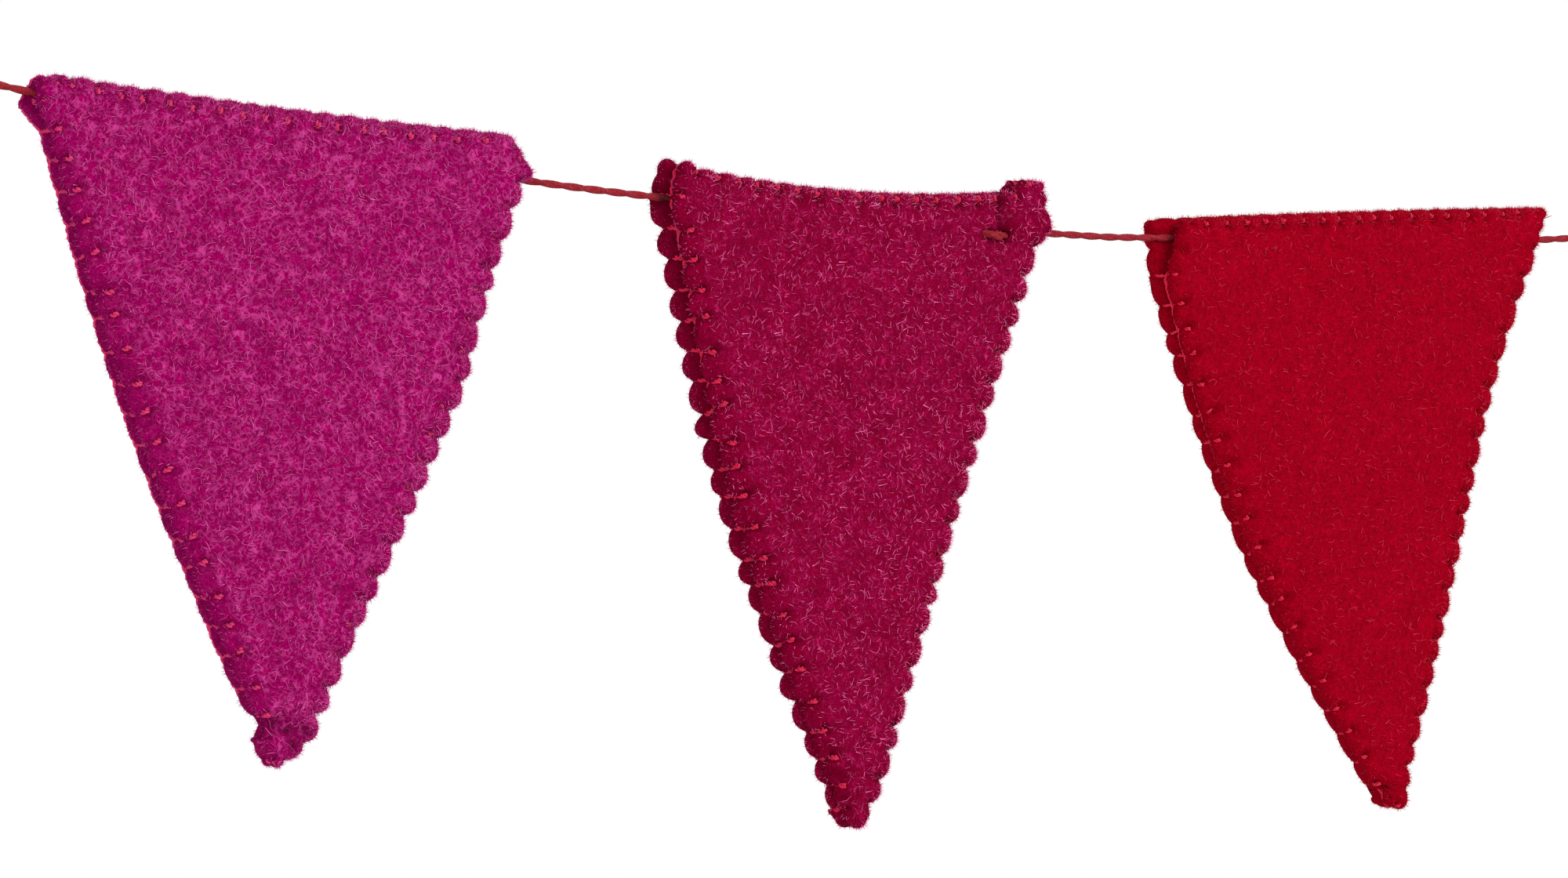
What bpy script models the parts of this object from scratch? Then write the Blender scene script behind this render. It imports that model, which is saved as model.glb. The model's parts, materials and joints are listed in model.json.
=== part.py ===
"""Felt pennant bunting on a taut string.

Three pennants hang from one string. Each is two layers of thick felt, whose edges the
blanket stitch draws into small lobes. The string runs between the layers, a little below
the top edge, and ends in a tied loop at each side.

Metres, +Z up. The pennants face -Y, the string runs along +X and falls a little to the
right. The origin is where the left loop bears on what holds it.
"""

from collections import namedtuple
import math
from random import Random

import bmesh
import bpy
from mathutils import Matrix, Vector

MM = 0.001

# Driving dimensions.
FELT_THICKNESS = 3.0 * MM
LAYER_GAP = 0.5 * MM
STRING_RADIUS = 0.6 * MM
CHANNEL_RADIUS = 0.93 * MM
STRING_STEP = 5.5 * MM
PIECE_GAP = 0.4 * MM

# The edge of a layer, from the face that meets its twin to the outer face.
MATE_INSET = 0.45 * MM
SIDE_HEIGHT = 1.45 * MM
FACE_INSET = 1.3 * MM
FACE_HEIGHT = 2.75 * MM
FACE_LOBE_SHARE = 0.7
INNER_INSET = 3.4 * MM
ROOM_SHARE = 0.6
TOUCHING = 1e-7

# How a stitch flattens the edge at its notch, and how uneven the lobes are between them.
PINCH_SHARE = 0.3
PINCH_REACH = 0.25
STITCH_JITTER = 0.13
DEPTH_JITTER = 0.22

# A lobe is sampled at these shares of its length, a shallow one at fewer.
LOBE_STEPS = (0.0, 0.25, 0.55, 0.82)
SHALLOW_STEPS = (0.0, 0.5)
SHALLOW_DEPTH = 0.45
LOBE_FULLNESS = 0.75

# How the cloth bends: how quickly it leaves the string, the width from which an edge bends
# in full, how far the bend runs on past the edges, and the height that leans at the top.
BELLY_FALL = 1.5
FULL_WIDTH = 40.0
LEAST_WIDTH = 6.0
PAST_EDGE = 0.3
LEAN_HEIGHT = 6.0

# Spacing of the cuts that let a layer bend.
BEND_STEP = 9.0 * MM
SNAP = 0.3 * MM

# One row for each corner of a pennant, clockwise from the top left, as seen from the
# front. u and v are millimetres right of and above the hole where the string goes in.
# The side that starts at a corner bows outwards by bow, and has so many stitches, with
# lobes that deep. A lobe is fullest at full of its length. blob is how far a rounded
# corner swells. front_shift moves the corner of the front layer alone to the right.
Corner = namedtuple("Corner", "name u v radius blob bow stitches depth full front_shift")

# hole_in and hole_out are where the string enters and leaves, in millimetres. left, right
# and belly push the middle of each edge and of the cloth towards the front. swing does
# so at the tip, and lean at the top edge.
Pennant = namedtuple("Pennant", "name colour hole_in hole_out left right belly swing lean corners")

PENNANTS = (
    Pennant(
        "pennant_left", (0.355, 0.012, 0.125), (33.5, 0.0, -6.0), (116.6, -8.3, -18.1),
        -1.6, 1.5, 0.6, 0.8, -0.5,
        (
            Corner("top_left", 0.3, 3.6, 3.2, 0.2, -0.4, 19, 0.35, 0.50, -1.1),
            Corner("top_right", 80.4, -4.8, 2.4, 0.1, 0.0, 2, 0.30, 0.50, 0.0),
            Corner("string_out", 84.0, -11.2, 1.2, 0.1, 0.0, 0, 0.00, 0.50, 0.0),
            Corner("step", 82.1, -12.7, 0.0, 0.0, -0.6, 7, 1.00, 0.60, 0.0),
            Corner("hip", 71.2, -45.0, 0.0, 0.0, 0.3, 12, 1.20, 0.60, 0.0),
            Corner("tip_right", 46.8, -98.5, 0.0, 0.0, 0.0, 1, 1.50, 0.50, 0.0),
            Corner("tip_step", 43.7, -103.4, 0.0, 0.0, 0.0, 1, 0.70, 0.50, 0.0),
            Corner("tip", 38.3, -107.7, 1.7, 0.2, 0.0, 1, 0.30, 0.50, 0.0),
            Corner("tip_left", 35.5, -102.3, 1.2, 0.2, 0.0, 0, 0.00, 0.50, 0.0),
            Corner("left_foot", 36.3, -99.8, 0.0, 0.0, 0.0, 0, 0.00, 0.50, 0.0),
            Corner("left_heel", 34.6, -98.5, 0.0, 0.0, 1.6, 20, 0.45, 0.45, 0.2),
            Corner("flare", 0.4, -5.6, 0.0, 0.0, 0.0, 1, 0.20, 0.50, 0.2),
            Corner("string_in", -3.2, -1.5, 1.4, 0.3, 0.0, 1, 0.30, 0.50, 1.9),
        ),
    ),
    Pennant(
        "pennant_middle", (0.285, 0.005, 0.045), (142.2, -8.8, -20.4), (224.8, 0.4, -24.6),
        -1.8, -0.8, 0.8, 0.6, 0.4,
        (
            Corner("top_left", 1.0, 6.8, 2.0, 0.7, 0.0, 1, 0.70, 0.50, 1.4),
            Corner("top_dip_in", 5.3, 4.8, 0.0, 0.0, -1.3, 16, 0.40, 0.50, 0.0),
            Corner("top_dip_out", 74.0, 2.6, 0.0, 0.0, 0.0, 1, 0.30, 0.50, 0.0),
            Corner("shoulder", 77.0, 4.3, 1.2, 0.1, 0.0, 1, 0.30, 0.50, 0.0),
            Corner("top_right", 81.5, 4.3, 1.9, 0.1, 0.0, 2, 0.20, 0.50, 0.0),
            Corner("string_out", 82.3, -3.9, 1.4, 0.1, 0.0, 1, 0.20, 0.50, 0.0),
            Corner("step", 79.2, -7.0, 0.0, 0.0, 0.6, 19, 1.40, 0.56, 0.0),
            Corner("tip_right", 45.4, -97.8, 0.0, 0.0, 0.3, 1, 1.60, 0.50, 0.0),
            Corner("tip_step", 41.6, -102.4, 0.0, 0.0, 0.0, 0, 0.00, 0.50, 0.0),
            Corner("tip", 40.2, -105.2, 1.7, 0.2, 0.0, 0, 0.00, 0.50, 0.0),
            Corner("tip_side", 35.9, -104.5, 1.4, 0.1, 0.0, 1, 0.60, 0.50, 0.0),
            Corner("tip_left", 35.2, -98.4, 0.0, 0.0, 2.5, 20, 1.55, 0.46, 0.7),
            Corner("string_in", -0.8, 0.2, 1.2, 0.0, 0.0, 1, 0.80, 0.50, 1.5),
        ),
    ),
    Pennant(
        "pennant_right", (0.355, 0.001, 0.013), (251.0, 1.0, -24.9), (331.2, 0.0, -24.0),
        -1.8, -1.1, 0.7, 0.5, -0.3,
        (
            Corner("top_left", -3.8, 3.4, 1.4, 0.2, 0.8, 19, 0.35, 0.50, 5.6),
            Corner("top_right", 82.0, 7.2, 1.5, 0.4, 0.0, 2, 0.50, 0.50, 0.0),
            Corner("string_out", 79.2, -1.0, 0.0, 0.0, -0.5, 6, 0.90, 0.58, 0.0),
            Corner("waist", 68.1, -31.0, 0.0, 0.0, 1.1, 14, 1.10, 0.58, 0.0),
            Corner("tip_right", 50.7, -96.6, 0.0, 0.0, 0.0, 1, 0.60, 0.50, 0.0),
            Corner("tip", 50.0, -102.1, 1.8, 0.2, 0.0, 1, 0.50, 0.50, 0.0),
            Corner("tip_left", 44.6, -100.4, 1.2, 0.2, 2.6, 20, 1.00, 0.45, 0.4),
            Corner("string_in", -2.7, -7.0, 1.6, 0.0, 0.0, 2, 0.60, 0.50, 2.0),
        ),
    ),
)

STRING_COLOUR = (0.45, 0.03, 0.04)

# The string's route. A row with a pennant's number gives how far across the string is, how
# far above the straight line through the holes and how far in front of the middle between
# the layers. The others give a place.
Route = namedtuple("Route", "pennant x y z")
STRING_ROUTE = (
    Route(None, 14.96, 0.0, -2.68),
    Route(None, 26.0, 0.0, -4.66),
    Route(0, 0.0, 0.0, 0.0),
    Route(0, 7.0, 0.0, 0.0),
    Route(0, 76.0, 0.0, 0.0),
    Route(0, 83.5, 0.0, 0.0),
    Route(None, 129.4, -8.9, -19.4),
    Route(1, 0.0, 0.0, 0.0),
    Route(1, 7.0, 0.0, 0.0),
    Route(1, 59.5, -0.3, 0.0),
    Route(1, 64.8, -0.9, 1.8),
    Route(1, 68.5, -1.5, 3.7),
    Route(1, 72.1, -1.2, 1.8),
    Route(1, 76.5, -0.4, 0.0),
    Route(1, 83.1, 0.0, 0.0),
    Route(None, 238.0, 1.0, -25.0),
    Route(2, 0.0, 0.0, 0.0),
    Route(2, 7.0, 0.0, 0.0),
    Route(2, 73.0, 0.0, 0.0),
    Route(2, 80.2, 0.0, 0.0),
    Route(None, 340.0, 0.0, -23.5),
    Route(None, 348.9, 0.0, -22.9),
)

# The loop tied at each end of the string: along the string's line from the knot's face,
# across it and to its side, in millimetres. It ends in a short cut tail.
LoopRow = namedtuple("LoopRow", "along across side")
LOOP_ROUTE = (
    LoopRow(0.7, 0.5, 0.0),
    LoopRow(3.4, 0.5, 0.0),
    LoopRow(6.0, 1.4, 0.0),
    LoopRow(9.6, 2.5, 0.0),
    LoopRow(13.2, 2.3, 0.0),
    LoopRow(15.4, 0.0, 0.0),
    LoopRow(13.2, -2.3, 0.0),
    LoopRow(9.6, -2.5, 0.0),
    LoopRow(6.0, -1.4, 0.0),
    LoopRow(3.4, -0.5, 0.0),
    LoopRow(1.4, -0.6, 0.0),
    LoopRow(-0.9, -2.3, 0.6),
    LoopRow(-3.2, -3.6, 0.8),
)
LOOP_STEP = 2.0 * MM
KNOT_LENGTH = 2.3 * MM
KNOT_WRAPS = 2
WRAP_RING = 1.1 * MM
WRAP_RADIUS = 0.62 * MM
WRAP_TILT = (0.25, -0.2)
WRAP_STEPS = 10


def material(name, colour, roughness):
    """A plain finish in the cloth's own colour."""
    finish = bpy.data.materials.new(name)
    finish.use_nodes = True
    shader = finish.node_tree.nodes["Principled BSDF"]
    shader.inputs["Base Color"].default_value = (*colour, 1.0)
    shader.inputs["Roughness"].default_value = roughness
    shader.inputs["Metallic"].default_value = 0.0
    return finish


def across(pennant):
    """The level direction from the hole where the string goes in to where it leaves."""
    run = Vector(pennant.hole_out) - Vector(pennant.hole_in)
    return Vector((run.x, run.y, 0.0)).normalized()


def facing(pennant):
    """The direction that the pennant's front faces."""
    run = across(pennant)
    return Vector((run.y, -run.x, 0.0))


def place(pennant, u, v, w):
    """The point u across, v up and w in front of the hole where the string goes in."""
    hole = Vector(pennant.hole_in) * MM
    return hole + across(pennant) * u + Vector((0.0, 0.0, v)) + facing(pennant) * w


def fall(pennant):
    """How much the string rises inside a pennant for each millimetre across."""
    run = Vector(pennant.hole_out) - Vector(pennant.hole_in)
    return run.z / run.xy.length


def string_place(row):
    """One point of the string's route."""
    if row.pennant is None:
        return Vector((row.x, row.y, row.z)) * MM
    pennant = PENNANTS[row.pennant]
    height = row.x * fall(pennant) + row.y
    return place(pennant, row.x * MM, height * MM, row.z * MM)


def smooth_route(points, step):
    """Points about step apart on a smooth curve through the given ones."""
    ends = [points[0] * 2 - points[1]] + points + [points[-1] * 2 - points[-2]]
    route = []
    for before, start, end, after in zip(ends, ends[1:], ends[2:], ends[3:]):
        length = (end - start).length
        out = (end - before).normalized() * length
        arrive = (after - start).normalized() * length
        count = max(2, round(length / step))
        for index in range(count):
            t = index / count
            route.append(
                start * (2 * t**3 - 3 * t**2 + 1)
                + out * (t**3 - 2 * t**2 + t)
                + end * (3 * t**2 - 2 * t**3)
                + arrive * (t**3 - t**2)
            )
    route.append(points[-1].copy())
    return route


def tube(name, points, radius, cyclic=False):
    """A round tube along points, as a closed mesh object."""
    curve = bpy.data.curves.new(name, "CURVE")
    curve.dimensions = "3D"
    curve.bevel_depth = radius
    curve.bevel_resolution = 2
    curve.use_fill_caps = not cyclic
    spline = curve.splines.new("POLY")
    spline.points.add(len(points) - 1)
    for target, point in zip(spline.points, points):
        target.co = (*point, 1.0)
    spline.use_cyclic_u = cyclic
    guide = bpy.data.objects.new(name + "_guide", curve)
    bpy.context.scene.collection.objects.link(guide)
    bpy.context.view_layer.update()
    evaluated = guide.evaluated_get(bpy.context.evaluated_depsgraph_get())
    mesh = bpy.data.meshes.new_from_object(evaluated)
    mesh.name = name
    shape = bmesh.new()
    shape.from_mesh(mesh)
    bmesh.ops.remove_doubles(shape, verts=shape.verts, dist=1e-6)
    shape.to_mesh(mesh)
    shape.free()
    bpy.data.objects.remove(guide)
    bpy.data.curves.remove(curve)
    return bpy.data.objects.new(name, mesh)


def lobe(t, full):
    """How far a lobe stands out, 0 at its notches and 1 where it is fullest."""
    skew = math.log(0.5) / math.log(full)
    return math.sin(math.pi * t**skew) ** LOBE_FULLNESS


def turned(direction):
    """The outward direction on a side that is walked clockwise."""
    return Vector((-direction.y, direction.x))


def rounding(before, corner, after, radius):
    """How much of each side a rounded corner takes."""
    half = (before - corner).angle(after - corner) / 2
    return radius / math.tan(half)


def outline(corners, front, seed):
    """The edge of a layer: rows of point, outward direction, lobe height and pinch."""
    chance = Random(seed)
    spots = []
    for corner in corners:
        shift = corner.front_shift if front else 0.0
        spots.append(Vector((corner.u + shift, corner.v)) * MM)
    count = len(corners)
    trims = []
    for index, corner in enumerate(corners):
        before, after = spots[index - 1], spots[(index + 1) % count]
        trims.append(rounding(before, spots[index], after, corner.radius * MM))
    samples = []
    for index, corner in enumerate(corners):
        following = (index + 1) % count
        along = (spots[following] - spots[index]).normalized()
        start = spots[index] + along * trims[index]
        end = spots[following] - along * trims[following]
        side_samples = side(corner, start, end, chance)
        if corner.radius == 0.0:
            previous = (spots[index] - spots[index - 1]).normalized()
            point, _, height, pinch = side_samples[0]
            out = (turned(previous) + turned(along)).normalized()
            side_samples[0] = (point, out, height, pinch)
        samples += side_samples
        if corners[following].radius > 0.0:
            after = (spots[(following + 1) % count] - spots[following]).normalized()
            samples += rounded(corners[following], end, along, after)
    return samples


def side(corner, start, end, chance):
    """The samples along the side that starts at a corner, without its far end."""
    run = end - start
    out = turned(run.normalized())
    if corner.stitches == 0:
        return [(start, out, 0.0, 1.0)]
    steps = LOBE_STEPS if corner.depth > SHALLOW_DEPTH else SHALLOW_STEPS
    bounds = [0.0]
    for number in range(1, corner.stitches):
        bounds.append((number + chance.uniform(-STITCH_JITTER, STITCH_JITTER)) / corner.stitches)
    bounds.append(1.0)
    samples = []
    for low, high in zip(bounds, bounds[1:]):
        depth = corner.depth * MM * (1.0 + chance.uniform(-DEPTH_JITTER, DEPTH_JITTER))
        for t in steps:
            x = low + (high - low) * t
            bow = corner.bow * MM
            point = start + run * x + out * bow * 4 * x * (1 - x)
            slope = (run + out * bow * 4 * (1 - 2 * x)).normalized()
            height = depth * (lobe(t, corner.full) - 0.5)
            pinch = max(0.0, 1.0 - min(t, 1 - t) / PINCH_REACH)
            samples.append((point, turned(slope), height, pinch))
    return samples


def rounded(corner, start, along, after):
    """The samples on a rounded corner, from the end of one side to the start of the next."""
    first = turned(along)
    centre = start - first * corner.radius * MM
    turn = along.angle(after)
    count = 3 if turn < math.radians(100) else 5
    samples = []
    for index in range(count):
        share = index / count
        out = first.copy()
        out.rotate(Matrix.Rotation(-turn * share, 2))
        swell = corner.blob * MM * math.sin(math.pi * share)
        samples.append((centre + out * corner.radius * MM, out, swell, 0.0))
    return samples


def room(samples):
    """The radius of the largest circle inside the edge that touches it at each sample."""
    radii = []
    for point, out, _, _ in samples:
        radius = math.inf
        for other, _, _, _ in samples:
            gap = point - other
            depth = gap.dot(out)
            if depth > TOUCHING:
                radius = min(radius, gap.length_squared / (2 * depth))
        radii.append(radius)
    return radii


def ring(shape, samples, inset, height, share):
    """A closed ring of edges at one depth in from the edge and one height in the layer."""
    points = []
    for (point, out, bump, pinch), radius in samples:
        spot = point + out * (bump * share - min(inset, ROOM_SHARE * radius))
        low = height * (1.0 - pinch * share * PINCH_SHARE)
        points.append(shape.verts.new((spot.x, spot.y, LAYER_GAP / 2 + low)))
    return [shape.edges.new(pair) for pair in zip(points, points[1:] + points[:1])]


def bend(pennant, u, v):
    """How far the middle of the cloth stands in front of the plane through its holes."""
    spots = {corner.name: corner for corner in pennant.corners}
    tip = spots["tip"]
    below = fall(pennant) * u - v
    depth = min(max(below / MM / (fall(pennant) * tip.u - tip.v), 0.0), 1.0)
    left = spots["top_left"].u * (1 - depth) + tip.u * depth
    right = spots["top_right"].u * (1 - depth) + tip.u * depth
    width = max(right - left, LEAST_WIDTH)
    share = min(max((u / MM - left) / width, -PAST_EDGE), 1.0 + PAST_EDGE)
    belly = math.sin(math.pi * depth) ** BELLY_FALL
    edges = pennant.left * (1 - share) ** 2 + pennant.right * share**2
    edges *= min(width / FULL_WIDTH, 1.0)
    middle = pennant.belly * 4 * share * (1 - share)
    rise = min(max(-below / MM / LEAN_HEIGHT, 0.0), 1.0 + PAST_EDGE)
    return (belly * (edges + middle) + pennant.swing * depth**2 + pennant.lean * rise**2) * MM


def felt_layer(pennant, number, front):
    """One felt triangle with its lobed edge, hung in its place."""
    edge = outline(pennant.corners, front, 10 * number + front)
    samples = list(zip(edge, room(edge)))
    shape = bmesh.new()
    mate = ring(shape, samples, MATE_INSET, 0.0, 1.0)
    middle = ring(shape, samples, 0.0, SIDE_HEIGHT, 1.0)
    face = ring(shape, samples, FACE_INSET, FACE_HEIGHT, FACE_LOBE_SHARE)
    inner = ring(shape, samples[::2], INNER_INSET, FELT_THICKNESS, 0.0)
    for low, high in ((mate, middle), (middle, face), (face, inner)):
        bmesh.ops.bridge_loops(shape, edges=low + high)
    for loop in (mate, inner):
        filled = bmesh.ops.contextual_create(shape, geom=loop)
        cut_grid(shape, filled["faces"][0])
    bmesh.ops.triangulate(shape, faces=shape.faces, ngon_method="BEAUTY")
    bmesh.ops.recalc_face_normals(shape, faces=shape.faces)
    hang(shape, pennant, 1.0 if front else -1.0)
    if not front:
        bmesh.ops.reverse_faces(shape, faces=shape.faces)
    mesh = bpy.data.meshes.new(pennant.name)
    shape.to_mesh(mesh)
    shape.free()
    return bpy.data.objects.new(pennant.name + ("_front" if front else "_back"), mesh)


def cut_grid(shape, face):
    """Cuts across one flat face of a layer, so that it can bend."""
    pieces = [face]
    for axis in (Vector((1, 0, 0)), Vector((0, 1, 0))):
        reach = [vert.co.dot(axis) for vert in shape.verts]
        low, high = min(reach), max(reach)
        count = round((high - low) / BEND_STEP)
        for number in range(1, count):
            spot = axis * (low + (high - low) * number / count)
            geometry = set(pieces)
            for piece in pieces:
                geometry.update(piece.edges, piece.verts)
            cut = bmesh.ops.bisect_plane(
                shape, geom=list(geometry), dist=SNAP, plane_co=spot, plane_no=axis
            )
            pieces = [item for item in cut["geom"] if isinstance(item, bmesh.types.BMFace)]


def hang(shape, pennant, side_sign):
    """Bends a flat layer and hangs it in its place."""
    for vert in shape.verts:
        u, v, height = vert.co
        vert.co = place(pennant, u, v, bend(pennant, u, v) + height * side_sign)


def end_loop(name, end, direction, turn):
    """A loop tied in the end of the string, with its knot and a cut tail, as one solid."""
    run = direction.normalized()
    lift = run.cross(Vector((0, 1, 0))).normalized()
    knot = end + run * PIECE_GAP
    route = []
    for row in LOOP_ROUTE:
        route.append(knot + (run * row.along + lift * row.across + Vector((0, row.side, 0))) * MM)
    body = tube(name, smooth_route(route, LOOP_STEP), STRING_RADIUS)
    wraps = []
    for index in range(KNOT_WRAPS):
        centre = knot + run * (WRAP_RADIUS + (KNOT_LENGTH - 2 * WRAP_RADIUS) * index)
        axis = (run + lift * WRAP_TILT[index]).normalized()
        first = axis.cross(Vector((0, 1, 0))).normalized()
        second = axis.cross(first)
        circle = []
        for step in range(WRAP_STEPS):
            angle = math.tau * (step + turn) / WRAP_STEPS
            circle.append(centre + (first * math.cos(angle) + second * math.sin(angle)) * WRAP_RING)
        wraps.append(tube(f"{name}_wrap_{index}", circle, WRAP_RADIUS, cyclic=True))
    return body, wraps


def main():
    for old in list(bpy.data.objects):
        bpy.data.objects.remove(old)
    scene = bpy.context.scene
    parts = bpy.data.collections.new("felt_pennant_bunting")
    cutters = bpy.data.collections.new("cutters")
    scene.collection.children.link(parts)
    scene.collection.children.link(cutters)

    points = [string_place(row) for row in STRING_ROUTE]
    route = smooth_route(points, STRING_STEP)
    string = tube("string", route, STRING_RADIUS)
    string.data.materials.append(material("string_red", STRING_COLOUR, 0.8))
    parts.objects.link(string)

    longer = [route[0] * 2 - route[1]] + route + [route[-1] * 2 - route[-2]]
    channel = tube("string_channel", longer, CHANNEL_RADIUS)
    channel.hide_render = True
    channel.display_type = "WIRE"
    cutters.objects.link(channel)

    for number, pennant in enumerate(PENNANTS):
        finish = material(pennant.name + "_felt", pennant.colour, 0.95)
        for front in (True, False):
            layer = felt_layer(pennant, number, front)
            layer.data.materials.append(finish)
            layer.data.shade_smooth()
            cut = layer.modifiers.new("string_channel", "BOOLEAN")
            cut.operation = "DIFFERENCE"
            cut.solver = "EXACT"
            cut.object = channel
            parts.objects.link(layer)

    ends = (
        ("loop_left", points[0], points[0] - points[1], 0.0),
        ("loop_right", points[-1], points[-1] - points[-2], 0.3),
    )
    for name, end, direction, turn in ends:
        body, wraps = end_loop(name, end, direction, turn)
        body.data.materials.append(string.data.materials[0])
        parts.objects.link(body)
        for wrap in wraps:
            wrap.hide_render = True
            wrap.display_type = "WIRE"
            cutters.objects.link(wrap)
            join = body.modifiers.new(wrap.name, "BOOLEAN")
            join.operation = "UNION"
            join.solver = "EXACT"
            join.object = wrap


main()
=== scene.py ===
"""Looks of a felt pennant bunting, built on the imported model.

Three pennants of doubled wool felt hang on a thin two-ply string. Red thread runs round
each in blanket stitch and draws its edge into lobes. Metres, +Z up; the fronts face -Y.
"""

from collections import namedtuple
import json
import math
from random import Random

import bmesh
import bpy
from bpy.props import FloatProperty, FloatVectorProperty, IntProperty, PointerProperty
from bpy.types import Operator, Panel, PropertyGroup
from mathutils import Matrix, Vector, noise
from mathutils.kdtree import KDTree
import numpy as np

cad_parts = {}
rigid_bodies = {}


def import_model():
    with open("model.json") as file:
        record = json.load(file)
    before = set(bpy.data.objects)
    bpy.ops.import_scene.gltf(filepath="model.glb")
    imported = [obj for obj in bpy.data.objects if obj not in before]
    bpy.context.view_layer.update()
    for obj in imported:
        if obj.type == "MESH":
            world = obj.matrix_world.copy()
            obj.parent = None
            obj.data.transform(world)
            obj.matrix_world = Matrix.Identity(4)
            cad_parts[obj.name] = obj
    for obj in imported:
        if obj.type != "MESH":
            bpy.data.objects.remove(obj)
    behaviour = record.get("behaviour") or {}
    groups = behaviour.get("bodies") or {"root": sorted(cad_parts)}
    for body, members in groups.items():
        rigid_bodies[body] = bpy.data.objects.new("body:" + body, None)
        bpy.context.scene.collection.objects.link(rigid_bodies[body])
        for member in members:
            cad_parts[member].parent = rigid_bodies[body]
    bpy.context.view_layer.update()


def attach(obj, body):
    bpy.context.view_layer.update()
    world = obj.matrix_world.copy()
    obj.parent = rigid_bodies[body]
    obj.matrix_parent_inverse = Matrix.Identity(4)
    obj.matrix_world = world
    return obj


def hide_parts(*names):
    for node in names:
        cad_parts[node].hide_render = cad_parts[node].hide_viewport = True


bl_info = {
    "name": "Felt pennant bunting",
    "version": (1, 0, 0),
    "blender": (4, 5, 0),
    "location": "View3D > Sidebar > Bunting",
    "description": "Felt, stitches, nap and string for a pennant bunting",
    "category": "Object",
}

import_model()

MM = 0.001

# One row for each corner of a pennant, clockwise from the top left, as seen from the
# front. u and v are millimetres right of and above the hole where the string goes in.
# The side that starts at a corner bows outwards by bow, and has so many stitches, with
# lobes that deep. A lobe is fullest at full of its length. blob is how far a rounded
# corner swells. front_shift moves the corner of the front layer alone to the right.
Corner = namedtuple("Corner", "name u v radius blob bow stitches depth full front_shift")

# hole_in and hole_out are where the string enters and leaves, in millimetres. left, right
# and belly push the middle of each edge and of the cloth towards the front. swing does
# so at the tip, and lean at the top edge.
Pennant = namedtuple("Pennant", "name hole_in hole_out left right belly swing lean corners")

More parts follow.
